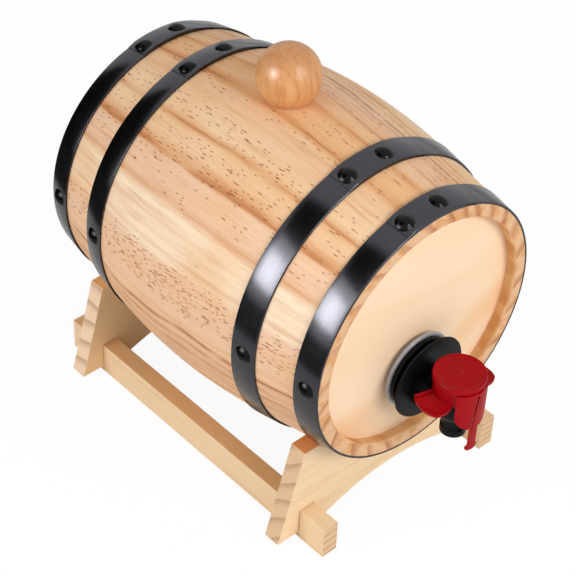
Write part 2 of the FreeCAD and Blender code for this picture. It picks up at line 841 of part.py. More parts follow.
def tap_body():
    """Arm with a round end, two flanges and a spigot, and the barrel with its spout."""
    body = new_body("tap_body")
    front = size("tap_reach") - flange_front
    arm_sketch = new_sketch(body, "YZ_Plane", "arm")
    shift_sketch(arm_sketch, along_y=-size("arm_drop"))
    round_end = size("arm_round_place") - size("arm_radius")
    draw_outline(arm_sketch, [
        (front + OVERRUN, 0),
        (round_end, 0, size("arm_radius")),
        (size("arm_round_place"), size("arm_radius")),
        (front + OVERRUN, size("arm_radius")),
    ])
    revolve(body, arm_sketch, axis="H_Axis")
    top = new_sketch(body, "XY_Plane", "arm_flat")
    shift_sketch(top, along_normal=size("arm_flat"))
    wide = size("arm_radius") + OVERRUN
    draw_outline(top, [
        (-wide, -wide), (-wide, front + OVERRUN * 2), (wide, front + OVERRUN * 2),
        (wide, -wide)])
    flat = body.newObject("PartDesign::Pocket", "tap_body_arm_flat_Pocket")
    flat.Profile = top
    flat.Reversed = True
    flat.setExpression("Length", (size("arm_radius") * 2).text)

    flanges = new_sketch(body, "YZ_Plane", "flanges")
    draw_outline(flanges, flange_outline())
    revolve(body, flanges, axis="H_Axis")
    barrel = new_sketch(body, "XZ_Plane", "barrel")
    draw_outline(barrel, barrel_outline())
    revolve(body, barrel)
    hollow = new_sketch(body, "XZ_Plane", "bore")
    draw_outline(hollow, bore_outline())
    revolve(body, hollow, kind="Groove")
    channel = new_sketch(body, "XZ_Plane", "channel")
    draw_circle(channel, 0, -size("channel_drop"), size("channel_radius"))
    cut = body.newObject("PartDesign::Pocket", "tap_body_channel_Pocket")
    cut.Profile = channel
    cut.setExpression("Length", (front + size("flange_wall") + OVERRUN).text)
    place(body, 0, valve_place, inlet_height)


def flange_outline():
    """Half section of the flanges and the hollow spigot, from front to back."""
    spigot = spigot_radius()
    start = spigot_start()
    rear_front = start - size("rear_flange_thickness")
    front_back = rear_front - size("flange_space")
    front = front_back - size("front_flange_thickness")
    groove_floor = spigot - size("seal_radius") * 2
    groove = size("seal_radius") + size("face_gap")
    end = start + size("spigot_length")
    return [
        (front, 0),
        (front, size("front_flange_radius")),
        (front_back, size("front_flange_radius")),
        (front_back, size("waist_radius")),
        (rear_front, size("waist_radius")),
        (rear_front, size("rear_flange_radius")),
        (start, size("rear_flange_radius")),
        (start, spigot),
        (seal_place() - groove, spigot),
        (seal_place() - groove, groove_floor),
        (seal_place() + groove, groove_floor),
        (seal_place() + groove, spigot),
        (end, spigot),
        (end, size("inlet_bore")),
        (front + size("flange_wall"), size("inlet_bore")),
        (front + size("flange_wall"), 0),
    ]


def barrel_outline():
    """Half section of the barrel and the spout, as if they were solid."""
    mouth = -size("spout_drop")
    return [
        (0, size("rim_top")),
        (size("rim_radius"), size("rim_top")),
        (size("rim_radius"), size("barrel_shoulder")),
        (size("barrel_radius"), size("barrel_shoulder")),
        (size("barrel_radius"), -size("barrel_skirt_drop"), size("barrel_curve")),
        (size("barrel_waist"), -size("barrel_waist_drop")),
        (size("spout_radius"), -size("spout_top_drop")),
        (size("spout_radius"), mouth + size("lip_height")),
        (size("lip_radius"), mouth + size("lip_height")),
        (size("lip_radius"), mouth),
        (0, mouth),
    ]


def bore_outline():
    """Half section of the barrel's hollow, from above the rim to below the spout."""
    top = size("rim_top") + OVERRUN
    seat_low = -size("seat_drop")
    seat_top = seat_low + size("seat_thickness")
    return [
        (0, top),
        (size("bore_radius"), top),
        (size("bore_radius"), seat_top),
        (size("seat_bore"), seat_top),
        (size("seat_bore"), seat_low),
        (size("spout_bore"), seat_low),
        (size("spout_bore"), -size("spout_drop") - OVERRUN),
        (0, -size("spout_drop") - OVERRUN),
    ]


def spigot_seal():
    """Rubber ring in the spigot's groove."""
    ring = doc.addObject("Part::Torus", "spigot_seal")
    ring.Label = "spigot_seal"
    ring.setExpression("Radius1", (spigot_radius() - size("seal_radius")).text)
    ring.setExpression("Radius2", size("seal_radius").text)
    place(ring, 0, valve_place + seal_place(), inlet_height)
    turn(ring, FreeCAD.Vector(1, 0, 0), 90)


def wing_outline(side):
    """Plan of one wing: a swept tip at the back and a round front corner."""
    bite = size("neck_radius") - size("wing_bite")
    back = size("wing_back_angle")
    front = size("wing_front_angle")
    return [
        (bite * cosine(back) * side, bite * sine(back)),
        (size("wing_tip_reach") * side, size("wing_tip_back"),
         size("wing_side_curve") * side),
        (size("wing_front_reach") * side, -size("wing_front"),
         size("wing_front_curve") * side),
        (bite * cosine(front) * side, -bite * sine(front), -bite * side),
    ]


def wing_plate(body, label, side, outline, rise):
    """Drooping plate on one side of the collar, as thick as a wing plus a rise above it."""
    droop = size("wing_droop")
    root_lift = size("neck_radius") * sine(droop) / cosine(droop)
    plate = new_sketch(body, "XY_Plane", label)
    draw_outline(plate, outline)
    tilt_sketch(plate, FreeCAD.Vector(0, 1, 0), droop * side)
    middle = size("barrel_shoulder") + size("wing_thickness") / 2 + root_lift
    shift_sketch(plate, along_normal=middle + rise / 2)
    pad(body, plate, size("wing_thickness") + rise)


def wing_rib(side):
    """Plan of the rib along a wing's back edge, from inside the collar to the tip."""
    bite = size("neck_radius") - size("wing_bite")
    back = size("wing_back_angle")
    near = bite * cosine(back) * side
    tip = size("wing_tip_reach") * side
    return [
        (near, bite * sine(back)),
        (tip, size("wing_tip_back")),
        (tip, size("wing_tip_back") - size("wing_rib_width")),
        (near, bite * sine(back) - size("wing_rib_width")),
    ]


def winged_collar():
    """Collar snapped on the barrel's rim over the dome's foot, with two finger wings."""
    body = new_body("winged_collar")
    grip = size("rim_radius") + size("snap_gap")
    shoulder = size("barrel_shoulder")
    foot_top = size("rim_top") + size("dome_foot_thickness")
    section = new_sketch(body, "XZ_Plane", "section")
    draw_outline(section, [
        (grip, shoulder),
        (size("neck_radius"), shoulder),
        (size("neck_radius"), size("neck_top")),
        (size("collar_mouth"), size("neck_top")),
        (size("collar_mouth"), foot_top),
        (grip, foot_top),
    ])
    revolve(body, section)
    for side, label in ((-1, "left"), (1, "right")):
        wing_plate(body, f"{label}_wing", side, wing_outline(side), as_term(0))
        wing_plate(body, f"{label}_wing_rib", side, wing_rib(side), size("wing_rib_rise"))
    place(body, 0, valve_place, inlet_height)


def return_dome():
    """Rubber dome clamped on the barrel's rim; its crown lifts the button."""
    body = new_body("return_dome")
    low = size("rim_top")
    foot_top = low + size("dome_foot_thickness")
    crown = button_under - size("boss_height") - size("dome_gap")
    hole = size("stem_radius") + size("dome_gap")
    outer = size("collar_mouth") - size("dome_gap")
    wall = size("dome_wall")
    section = new_sketch(body, "XZ_Plane", "section")
    draw_outline(section, [
        (outer - wall, low),
        (size("rim_radius"), low),
        (size("rim_radius"), foot_top),
        (outer, foot_top),
        (size("dome_crown_radius"), crown),
        (hole, crown),
        (hole, crown - wall),
        (size("dome_crown_radius") - wall, crown - wall),
    ])
    revolve(body, section)
    place(body, 0, valve_place, inlet_height)


def press_button():
    """Dished button with a skirt over the collar and a boss for the stem."""
    body = new_body("press_button")
    outer = size("button_radius")
    top = size("button_top")
    dish = top - size("dish_depth")
    edge = size("button_round")
    inner = size("neck_radius") + size("skirt_gap")
    boss_low = button_under - size("boss_height")
    grip_top = boss_low + size("stem_grip")
    section = new_sketch(body, "XZ_Plane", "section")
    draw_outline(section, [
        (0, dish + size("nipple_height")),
        (size("nipple_radius"), dish),
        (size("dish_radius"), dish),
        (size("dish_radius") + size("rim_width"), top),
        (outer - edge, top, edge),
        (outer, top - edge),
        (outer, size("button_bottom")),
        (inner, size("button_bottom")),
        (inner, button_under),
        (size("boss_radius"), button_under),
        (size("boss_radius"), boss_low),
        (size("stem_radius"), boss_low),
        (size("stem_radius"), grip_top),
        (0, grip_top),
    ])
    revolve(body, section)
    place(body, 0, valve_place, inlet_height)


def plug_top():
    """Top of the plug, under its washer, from the inlet axis."""
    return -size("seat_drop") - size("face_gap") - size("plug_seal_thickness")


def valve_stem():
    """Stem from the button down through the seat, with the plug below it."""
    body = new_body("valve_stem")
    top = button_under - size("boss_height") + size("stem_grip")
    low = plug_top() - size("plug_thickness")
    section = new_sketch(body, "XZ_Plane", "section")
    draw_outline(section, [
        (0, low),
        (size("plug_radius"), low),
        (size("plug_radius"), plug_top()),
        (size("stem_radius"), plug_top()),
        (size("stem_radius"), top),
        (0, top),
    ])
    revolve(body, section)
    place(body, 0, valve_place, inlet_height)


def plug_seal():
    """Rubber washer on the plug, which shuts against the seat."""
    body = new_body("plug_seal")
    face = new_sketch(body, "XY_Plane", "face")
    shift_sketch(face, along_normal=plug_top() + size("plug_seal_thickness") / 2)
    draw_circle(face, 0, 0, size("plug_radius"))
    draw_circle(face, 0, 0, size("stem_radius"))
    pad(body, face, size("plug_seal_thickness"))
    place(body, 0, valve_place, inlet_height)


def tamper_strip():
    """Curved strip before the collar, with a tear slot and a tail beside the spout."""
    body = new_body("tamper_strip")
    top = size("strip_top")
    low = -size("tail_drop")
    outer = strip_outer
    inner = outer - size("strip_thickness")
    shell = new_sketch(body, "YZ_Plane", "section")
    draw_outline(shell, [(-outer, low), (-outer, top), (-inner, top), (-inner, low)])
    revolve(body, shell, angle=size("strip_angle"))
    for side, label in ((-1, "left_trim"), (1, "right_trim")):
        trim = new_sketch(body, "XZ_Plane", label)
        draw_outline(trim, strip_trim(side, outer, low))
        cut_through(body, trim)
    slot = new_sketch(body, "XZ_Plane", "tear_slot")
    half = size("slot_width") / 2
    foot = -size("tail_top_drop") - OVERRUN
    draw_outline(slot, [
        (-size("slot_foot_reach") - half, foot),
        (-size("slot_top_reach") - half, size("slot_top")),
        (-size("slot_top_reach") + half, size("slot_top")),
        (-size("slot_foot_reach") + half, foot),
    ])
    cut_through(body, slot)
    for step, label in ((-1, "left"), (0, "middle"), (1, "right")):
        strip_bridge(body, size("bridge_spread") * step, label, inner)
    place(body, 0, valve_place, inlet_height)


def strip_trim(side, outer, low):
    """What is cut from one side of the strip, seen from the front."""
    wide = outer + OVERRUN
    shoulder = -size("strip_shoulder")
    edge = outer * sine(size("strip_angle") / 2)
    tail = size("tail_half_width") * side - size("tail_offset")
    foot = size("tail_foot_half_width") * side - size("tail_offset")
    corner = size("tail_foot_round")
    return [
        (wide * side, low - OVERRUN),
        (wide * side, shoulder),
        (edge * side, shoulder, size("strip_curve") * side),
        (tail, -size("tail_top_drop")),
        (tail, low + size("tail_foot_height")),
        (foot, low + corner, corner * side),
        (foot - corner * side, low),
        (foot - corner * side, low - OVERRUN),
    ]


def strip_bridge(body, angle, label, inner):
    """Thin bridge from the strip towards the collar, where it breaks off."""
    bridge = new_sketch(body, "XY_Plane", f"{label}_bridge")
    half = size("bridge_width") / 2
    near = -size("neck_radius") - size("bridge_gap")
    far = -inner - size("strip_thickness") / 2
    draw_outline(bridge, [(-half, far), (-half, near), (half, near), (half, far)])
    tilt_sketch(bridge, FreeCAD.Vector(0, 0, 1), angle)
    middle = size("bridge_top") - size("bridge_height") / 2
    shift_sketch(bridge, along_normal=middle)
    pad(body, bridge, size("bridge_height"))


# --------------------------------------------------------------------- build and write


def build():
    """Make every piece."""
    write_sheet()
    for side, end in ((FRONT, "front"), (REAR, "rear")):
        cradle_board(f"{end}_cradle_board", side)
        cask_head(f"{end}_head", side)
        chime = size("half_length") - size("chime_hoop_width")
        hoop(f"{end}_chime_hoop", side, chime, size("chime_hoop_width"))
        hoop(f"{end}_quarter_hoop", side, size("shoulder_reach"),
             size("quarter_hoop_width"))
    rail("left_rail", -1)
    rail("right_rail", 1)
    stand_dowels()
    for number in range(STAVE_COUNT):
        stave(number)
    liner_bag()
    gland_neck()
    gland_ring()
    bung_knob()
    bung_cork()
    tap_body()
    spigot_seal()
    winged_collar()
    return_dome()
    press_button()
    valve_stem()
    plug_seal()
    tamper_strip()
    doc.recompute()


def sub_parts():
    """The objects that become files: bodies, groups and the seal's ring."""
    kinds = ("PartDesign::Body", "Part::Compound", "Part::Torus")
    return [item for item in doc.Objects if item.TypeId in kinds]


def check():
    """Stop if any object failed or any sub-part has no valid shape."""
    for item in doc.Objects:
        if "Invalid" in item.State or "Error" in item.State:
            raise RuntimeError(f"{item.Label} failed: {item.State}")
    for item in sub_parts():
        if item.Shape.isNull() or not item.Shape.isValid() or not item.Shape.Solids:
            raise RuntimeError(f"{item.Label} has no valid shape")


def write_files():
    """Write one STEP file for each sub-part."""
    os.makedirs(OUT_FOLDER, exist_ok=True)
    for item in sub_parts():
        item.Shape.exportStep(os.path.join(OUT_FOLDER, f"{item.Label}.step"))
        print(item.Label, len(item.Shape.Solids), round(item.Shape.Volume, 1))


build()
check()
write_files()
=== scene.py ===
"""Looks of a countertop cask drink dispenser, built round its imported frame.

Sizes are millimetres unless a docstring says otherwise, and places are in the frame: the
cask's axis runs along Y, the tap is towards -Y and +Z is up.
"""

import logging
import math
from abc import ABC, abstractmethod
from dataclasses import dataclass
from enum import Enum
from typing import Any, Callable, Iterable, Optional, Sequence, Union

import bmesh
import bpy
from mathutils import Matrix, Vector


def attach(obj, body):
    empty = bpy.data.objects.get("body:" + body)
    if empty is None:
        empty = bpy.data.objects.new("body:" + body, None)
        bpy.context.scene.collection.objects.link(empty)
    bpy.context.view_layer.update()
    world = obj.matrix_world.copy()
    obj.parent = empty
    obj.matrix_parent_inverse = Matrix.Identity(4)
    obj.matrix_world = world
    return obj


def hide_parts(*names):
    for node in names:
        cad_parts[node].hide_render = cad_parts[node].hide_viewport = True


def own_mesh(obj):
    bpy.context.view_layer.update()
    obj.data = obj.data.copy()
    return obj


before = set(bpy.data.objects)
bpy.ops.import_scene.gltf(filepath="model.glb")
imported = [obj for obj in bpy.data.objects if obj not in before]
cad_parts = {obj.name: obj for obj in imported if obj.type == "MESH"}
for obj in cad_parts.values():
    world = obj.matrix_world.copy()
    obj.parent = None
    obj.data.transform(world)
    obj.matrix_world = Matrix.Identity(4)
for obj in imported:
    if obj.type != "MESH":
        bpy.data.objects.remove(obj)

logging.basicConfig(level=logging.INFO, format="%(message)s")
LOG = logging.getLogger("cask")

MM = 0.001
CASK = Vector((0.0, 18.985, 121.4))
INLET = Vector((0.0, -80.565, 94.6))
VALVE = Vector((0.0, -112.915, 94.6))

Piece = bpy.types.Object
Mesh = bmesh.types.BMesh
Material = bpy.types.Material
Point = tuple[float, float]
Corner = Sequence[float]
Profile = tuple[Corner, ...]
Place = tuple[float, float, float]
Colour = tuple[float, float, float]


class Axis(Enum):
    """Axis that a turned piece goes round."""

    Y = "Y"
    Z = "Z"


class End(Enum):
    """End of the cask."""

    FRONT = -1
    REAR = 1


# ---- Mesh helpers


def eased(corners: Iterable[Corner], steps: int = 3) -> list[Point]:
    """Rounds the corners of a closed outline.

    Args:
        corners: across, up, and for a rounded corner how far the rounding reaches.
        steps: pieces in each rounding.

    Returns:
        The outline's points.
    """
    corners = list(corners)
    points: list[Point] = []
    for index, corner in enumerate(corners):
        middle = Vector(corner[:2])
        if len(corner) < 3:
            points.append(tuple(middle))
            continue
        before = Vector(corners[index - 1][:2]) - middle
        after = Vector(corners[(index + 1) % len(corners)][:2]) - middle
        first = middle + before.normalized() * min(corner[2], before.length * 0.48)
        last = middle + after.normalized() * min(corner[2], after.length * 0.48)
        for step in range(steps + 1):
            share = step / steps
            points.append(tuple(first * (1 - share) ** 2
                                + middle * (2 * share * (1 - share))
                                + last * share ** 2))
    return points


def bow(start: Point, end: Point, radius: float, steps: int = 12) -> list[Point]:
    """Points on a circle from start to end.

    Args:
        start: first point, which is returned too.
        end: last point, which is returned too.
        radius: the circle's; positive bulges to the left of the way.
        steps: pieces in the curve.

    Returns:
        The points in order.
    """
    first, last = Vector(start), Vector(end)
    chord = last - first
    left = Vector((-chord.y, chord.x)).normalized()
    height = math.sqrt(max(radius * radius - chord.length_squared / 4, 0.0))
    centre = (first + last) / 2 - left * math.copysign(height, radius)
    from_angle = math.atan2(first.y - centre.y, first.x - centre.x)
    to_angle = math.atan2(last.y - centre.y, last.x - centre.x)
    turn = (to_angle - from_angle + math.pi) % math.tau - math.pi
    return [(centre.x + abs(radius) * math.cos(from_angle + turn * step / steps),
             centre.y + abs(radius) * math.sin(from_angle + turn * step / steps))
            for step in range(steps + 1)]


def ordered(mesh: Mesh) -> Mesh:
    """Makes a mesh again, so that its edges and faces stand alike on every run.

    Args:
        mesh: one whose points always stand alike; it is freed.

    Returns:
        The new mesh.
    """
    mesh.verts.index_update()
    faces = sorted([vert.index for vert in face.verts] for face in mesh.faces)
    fresh = bmesh.new()
    points = [fresh.verts.new(vert.co) for vert in mesh.verts]
    for face in faces:
        fresh.faces.new([points[index] for index in face])
    mesh.free()
    return fresh


def mirrored(corners: Sequence[Corner]) -> list[Corner]:
    """Corners on the other side of the middle, in the reverse order."""
    return [(-corner[0], *corner[1:]) for corner in reversed(corners)]


def as_object(name: str, mesh: Mesh, sharp: float = 35.0) -> Piece:
    """Makes an object of a mesh in millimetres.

    Args:
        name: the object's name.
        mesh: the mesh, which is freed.
        sharp: edges that turn by more degrees than this stay crisp.

    Returns:
        The object, linked to the scene.
    """
    bmesh.ops.remove_doubles(mesh, verts=mesh.verts, dist=0.001)
    bmesh.ops.recalc_face_normals(mesh, faces=mesh.faces)
    bmesh.ops.scale(mesh, vec=(MM, MM, MM), verts=mesh.verts)
    data = bpy.data.meshes.new(name)
    mesh.to_mesh(data)
    mesh.free()
    data.shade_smooth()
    data.set_sharp_from_angle(angle=math.radians(sharp))
    piece = bpy.data.objects.new(name, data)
    bpy.context.scene.collection.objects.link(piece)
    return piece


def join(mesh: Mesh, part: Mesh) -> None:
    """Adds a part to a mesh, and frees the part.

    Args:
        mesh: what it is added to.
        part: what is added.
    """
    data = bpy.data.meshes.new("part")
    part.to_mesh(data)
    part.free()
    mesh.from_mesh(data)
    bpy.data.meshes.remove(data)


def between(points: Sequence[Point], place: float) -> float:
    """Level at a place on a line through points that run from low to high places.

    Args:
        points: place and level of each point.
        place: where.

    Returns:
        The level, or 0 outside the points.
    """
    for (near, first), (far, second) in zip(points, points[1:]):
        if near <= place <= far:
            return first + (second - first) * (place - near) / (far - near)
    return 0.0


def turned(mesh: Mesh, outline: Sequence[Point], axis: Axis, centre: Vector,
           start: float = 0.0, sweep: float = 360.0, steps: int = 96,
           ease: float = 0.0, sinks: Sequence[Point] = ()) -> None:
    """Adds a turned solid, or a sector of one, to a mesh.

    Args:
        mesh: what it is added to.
        outline: closed half section, as radius and place along the axis.
        axis: what it goes round.
        centre: where radius and place are zero.
        start: first angle in degrees, from +Z towards +X or from +X towards +Y.
        sweep: how many degrees it goes round.
        steps: pieces round the sweep.
        ease: how far the outer edges of a sector are rounded off.
        sinks: angles, and how far a sector's outline lies lower there.
    """
    whole = sweep >= 360
    stops = steps if whole else steps + 1
    angles = [start + sweep * step / steps for step in range(stops)]
    angles = sorted({*angles, *(angle for angle, _ in sinks)})
    outer = max(radius for radius, _ in outline)
    if ease and not whole:
        margin = math.degrees(ease / outer)
        angles = [angles[0], angles[0] + margin, *angles[1:-1], angles[-1] - margin,
                  angles[-1]]
    rings = []
    for index, angle in enumerate(angles):
        at_edge = ease and not whole and index in (0, len(angles) - 1)
        low = between(sinks, angle)
        ring = []
        for radius, along in outline:
            if at_edge and radius > outer * 0.5:
                radius -= ease
            radius -= low
            cos, sin = math.cos(math.radians(angle)), math.sin(math.radians(angle))
            place = ((radius * sin, along, radius * cos) if axis is Axis.Y
                     else (radius * cos, radius * sin, along))
            ring.append(mesh.verts.new(centre + Vector(place)))
        rings.append(ring)
    count = len(outline)
    for index in range(len(rings) if whole else len(rings) - 1):
        near, far = rings[index], rings[(index + 1) % len(rings)]
        for corner in range(count):
            after = (corner + 1) % count
            if outline[corner][0] == 0 and outline[after][0] == 0:
                continue
            mesh.faces.new((near[corner], near[after], far[after], far[corner]))
    if not whole:
        mesh.faces.new(rings[0])
        mesh.faces.new(rings[-1])


def turned_object(name: str, outline: Iterable[Corner], axis: Axis, centre: Vector,
                  steps: int = 96, easing: int = 3) -> Piece:
    """Makes an object of one turned outline, with its corners rounded.

    Args:
        name: the object's name.
        outline: half section, as for eased.
        axis: what it goes round.
        centre: where radius and place are zero.
        steps: pieces round it.
        easing: pieces in each rounding.

    Returns:
        The object.
    """
    mesh = bmesh.new()
    turned(mesh, eased(outline, easing), axis, centre, steps=steps)
    return as_object(name, mesh)


def prism(mesh: Mesh, outline: Sequence[Point], thickness: float,
          place: Matrix) -> None:
    """Adds a straight solid with the outline as its section.

    Args:
        mesh: what it is added to.
        outline: closed outline in the place's X and Y.
        thickness: along the place's Z, half on each side.
        place: where it stands.
    """
    rings = [[mesh.verts.new(place @ Vector((x, y, side * thickness / 2)))
              for x, y in outline] for side in (-1, 1)]
    for ring in rings:
        mesh.faces.new(ring)
    for index in range(len(outline)):
        after = (index + 1) % len(outline)
        mesh.faces.new((rings[0][index], rings[0][after], rings[1][after], rings[1][index]))


def soften(piece: Piece, width: float, segments: int = 2,
           angle: float = 35.0) -> None:
    """Rounds a piece's crisp edges by a width in millimetres.

    Args:
        piece: the piece.
        width: of the rounding.
        segments: faces across it.
        angle: edges that turn by more degrees are rounded.
    """
    bevel = piece.modifiers.new("eased_edges", "BEVEL")
    bevel.width = width * MM
    bevel.segments = segments
    bevel.limit_method = "ANGLE"
    bevel.angle_limit = math.radians(angle)
    bevel.harden_normals = True


def bored(piece: Piece, radius: float, centre: Vector, depth: float,
          axis: Axis) -> None:
    """Cuts a round hole through a piece, for good.

    Args:
        piece: the piece.
        radius: the hole's.
        centre: the hole's.
        depth: half its length.
        axis: what it runs along.
    """
    cutter_mesh = bmesh.new()
    outline = [(0, -depth), (radius, -depth), (radius, depth), (0, depth)]
    turned(cutter_mesh, outline, axis, centre, steps=64)
    cutter = as_object("cutter", cutter_mesh)
    cut = piece.modifiers.new("hole", "BOOLEAN")
    cut.operation = "DIFFERENCE"
    cut.solver = "EXACT"
    cut.object = cutter
    bpy.context.view_layer.update()
    seen = piece.evaluated_get(bpy.context.evaluated_depsgraph_get())
    data = bpy.data.meshes.new_from_object(seen)
    piece.modifiers.clear()
    piece.data = data
    bpy.data.objects.remove(cutter)
    data.set_sharp_from_angle(angle=math.radians(35))


# ---- Shader helpers


def srgb(red: int, green: int, blue: int) -> Colour:
    """Colour from display values of 0 to 255.

    Args:
        red: display value of red.
        green: display value of green.
        blue: display value of blue.

    Returns:
        The colour as light.
    """
    def linear(level: int) -> float:
        """Light of one display value."""
        share = level / 255
        return share / 12.92 if share <= 0.04045 else ((share + 0.055) / 1.055) ** 2.4
    return linear(red), linear(green), linear(blue)


def operation(kind: str, reflected: bool = False) -> Callable[..., "Signal"]:
    """Method of a signal that adds a Math node.

    Args:
        kind: what the node does.
        reflected: whether the other value comes first.

    Returns:
        The method.
    """
    def apply(signal: "Signal", other: "Value" = 0.0) -> "Signal":
        """Adds the node for a signal and another value."""
        first, second = (other, signal) if reflected else (signal, other)
        return signal.graph.math(kind, first, second)
    return apply


class Signal:
    """Socket of a shader graph that takes part in arithmetic."""

    __add__, __radd__ = operation("ADD"), operation("ADD", True)
    __sub__, __rsub__ = operation("SUBTRACT"), operation("SUBTRACT", True)
    __mul__, __rmul__ = operation("MULTIPLY"), operation("MULTIPLY", True)
    __truediv__, __rtruediv__ = operation("DIVIDE"), operation("DIVIDE", True)
    __pow__, __rpow__ = operation("POWER"), operation("POWER", True)
    __abs__ = operation("ABSOLUTE")

    def __init__(self, graph: "Graph", socket: bpy.types.NodeSocket) -> None:
        """Wraps a socket of a graph."""
        self.graph = graph
        self.socket = socket


Value = Union[Signal, float, Sequence[float], Enum]


class Graph:
    """Node graph, with wrappers for the nodes that it uses."""

    def __init__(self, tree: bpy.types.NodeTree) -> None:
        """Wraps a node tree."""
        self.tree = tree

    @classmethod
    def of_material(cls, name: str) -> "Graph":
        """Graph of a new material.

        Args:
            name: the material's name.

        Returns:
            The graph.
        """
        material = bpy.data.materials.new(name)
        material.use_nodes = True
        graph = cls(material.node_tree)
        graph.material = material
        return graph

    def existing(self, kind: str) -> bpy.types.Node:
        """The node of a type that the tree came with."""
        return next(node for node in self.tree.nodes if node.bl_idname == kind)

    def node(self, kind: str, settings: dict[str, Any], values: dict[Any, Value],
             output: Union[int, str] = 0) -> Signal:
        """Adds a node.

        Args:
            kind: the node's type.
            settings: its properties, which are set first; a ramp's stops are one.
            values: what its inputs take, by name or place.
            output: which output is returned.

        Returns:
            The chosen output.
        """
        node = self.tree.nodes.new(kind)
        for key, value in settings.items():
            if key == "stops":
                self.set_stops(node.color_ramp.elements, value)
            else:
                setattr(node, key, value)
        for key, value in values.items():
            self.feed(node.inputs[key], value)
        return Signal(self, node.outputs[output])

    @staticmethod
    def set_stops(row: bpy.types.ColorRampElements,
                  stops: Sequence[tuple[float, Colour]]) -> None:
        """Gives a ramp its stops.

        Args:
            row: the ramp's elements.
            stops: their positions and colours.
        """
        while len(row) < len(stops):
            row.new(0.5)
        for element, (position, _) in zip(row, stops):
            element.position = position
        for element, (_, colour) in zip(row, stops):
            element.color = (*colour, 1.0)

    def feed(self, socket: bpy.types.NodeSocket, value: Value) -> None:
        """Links a signal to a socket, or sets its value or a named tone.

        Args:
            socket: an input.
            value: what it takes.
        """
        value = value.value if isinstance(value, Enum) else value
        if isinstance(value, Signal):
            self.tree.links.new(value.socket, socket)
        elif isinstance(value, (int, float)):
            socket.default_value = value
        else:
            spare = [1.0] * (len(socket.default_value) - len(value))
            socket.default_value = (*value, *spare)

    def math(self, kind: str, first: Value, second: Value = 0.0) -> Signal:
        """Value of a Math node."""
        return self.node("ShaderNodeMath", {"operation": kind}, {0: first, 1: second})

    def place(self) -> tuple[Signal, Signal, Signal]:
        """Place on the piece in millimetres, in the frame's axes.

        Returns:
            Across, along and up.
        """
        where = self.node("ShaderNodeTexCoord", {}, {}, "Object")
        scaled = self.node("ShaderNodeVectorMath", {"operation": "SCALE"},
                           {0: where, "Scale": 1 / MM})
        return tuple(self.node("ShaderNodeSeparateXYZ", {}, {0: scaled}, axis)
                     for axis in range(3))

    def place_on_cask(self) -> tuple[Signal, Signal, Signal]:
        """Place on the piece in millimetres, from the middle of the cask."""
        across, along, up = self.place()
        return across, along - CASK.y, up - CASK.z

    def vector(self, across: Value, along: Value, up: Value = 0.0) -> Signal:
        """Vector of three numbers."""
        return self.node("ShaderNodeCombineXYZ", {}, {0: across, 1: along, 2: up})

    def noise(self, where: Sequence[Value], detail: float = 2.0, roughness: float = 0.5
              ) -> Signal:
        """Smooth noise from 0 to 1, around 0.5.

        Args:
            where: two or three numbers.
            detail: of the noise.
            roughness: of the noise.

        Returns:
            The noise.
        """
        return self.node("ShaderNodeTexNoise", {}, {
            "Vector": self.vector(*where), "Scale": 1.0, "Detail": detail,
            "Roughness": roughness})

    def even_noise(self, scale: float, detail: float = 2.0, roughness: float = 0.5
                   ) -> Signal:
        """Smooth noise that is as coarse in every direction."""
        return self.noise([part * scale for part in self.place()], detail, roughness)

    def span(self, value: Value, low: float, high: float, to_low: float = 0.0,
             to_high: float = 1.0) -> Signal:
        """Value taken smoothly from one range to another, and held at its ends.

        Args:
            value: what is taken over.
            low: start of its range.
            high: end of its range.
            to_low: result at the start.
            to_high: result at the end.

        Returns:
            The result.
        """
        return self.node("ShaderNodeMapRange", {"interpolation_type": "SMOOTHSTEP"}, {
            "Value": value, "From Min": low, "From Max": high, "To Min": to_low,
            "To Max": to_high})

    def mix(self, share: Value, first: Value, second: Value) -> Signal:
        """Colour mixed from two."""
        return self.node("ShaderNodeMix", {"data_type": "RGBA"},
                         {0: share, 6: first, 7: second}, 2)

    def tint(self, colour: Value, tone: Value, value: Value, low: float, high: float,
             most: float = 1.0) -> Signal:
        """Colour that goes over to a tone as a value goes from low to high."""
        return self.mix(self.span(value, low, high, 0.0, most), colour, tone)

    def ramp(self, value: Value, stops: Sequence[tuple[float, Colour]]) -> Signal:
        """Colour picked along a row of stops between 0 and 1."""
        return self.node("ShaderNodeValToRGB", {"stops": stops}, {0: value})

    def curve(self, value: Value, stops: Sequence[tuple[float, float]]) -> Signal:
        """Number picked along a row of stops between 0 and 1."""
        colour = self.ramp(value, [(place, (level,) * 3) for place, level in stops])
        return self.node("ShaderNodeSeparateColor", {}, {0: colour})

    def round_curve(self, angle: Value, stops: Sequence[tuple[float, float]]) -> Signal:
        """Number picked by an angle from -180 to 180 degrees."""
        return self.curve(angle / 360 + 0.5, [(place / 360 + 0.5, level)
                                              for place, level in stops])

    def lines(self, angle: Signal, rows: Sequence[tuple[float, float, float, float]]
              ) -> Signal:
        """Lines at given angles, as a mask.

        Args:
            angle: in degrees, from -180 to 180.
            rows: each line's angle, how far it fades out before and after, and its
                strength.

        Returns:
            The strongest line there.
        """
        total: Optional[Signal] = None
        for first in range(0, len(rows), 10):
            stops: list[tuple[float, float]] = []
            for place, before, after, strength in rows[first:first + 10]:
                stops += [(place - before, 0.0), (place, strength), (place + after, 0.0)]
            mask = self.round_curve(angle, stops)
            total = mask if total is None else self.math("MAXIMUM", total, mask)
        return total

    def bump(self, height: Value, depth: float) -> Signal:
        """Normal of a surface whose height goes from 0 to 1 over a depth."""
        return self.node("ShaderNodeBump", {}, {
            "Height": height, "Distance": depth * MM, "Strength": 1.0})

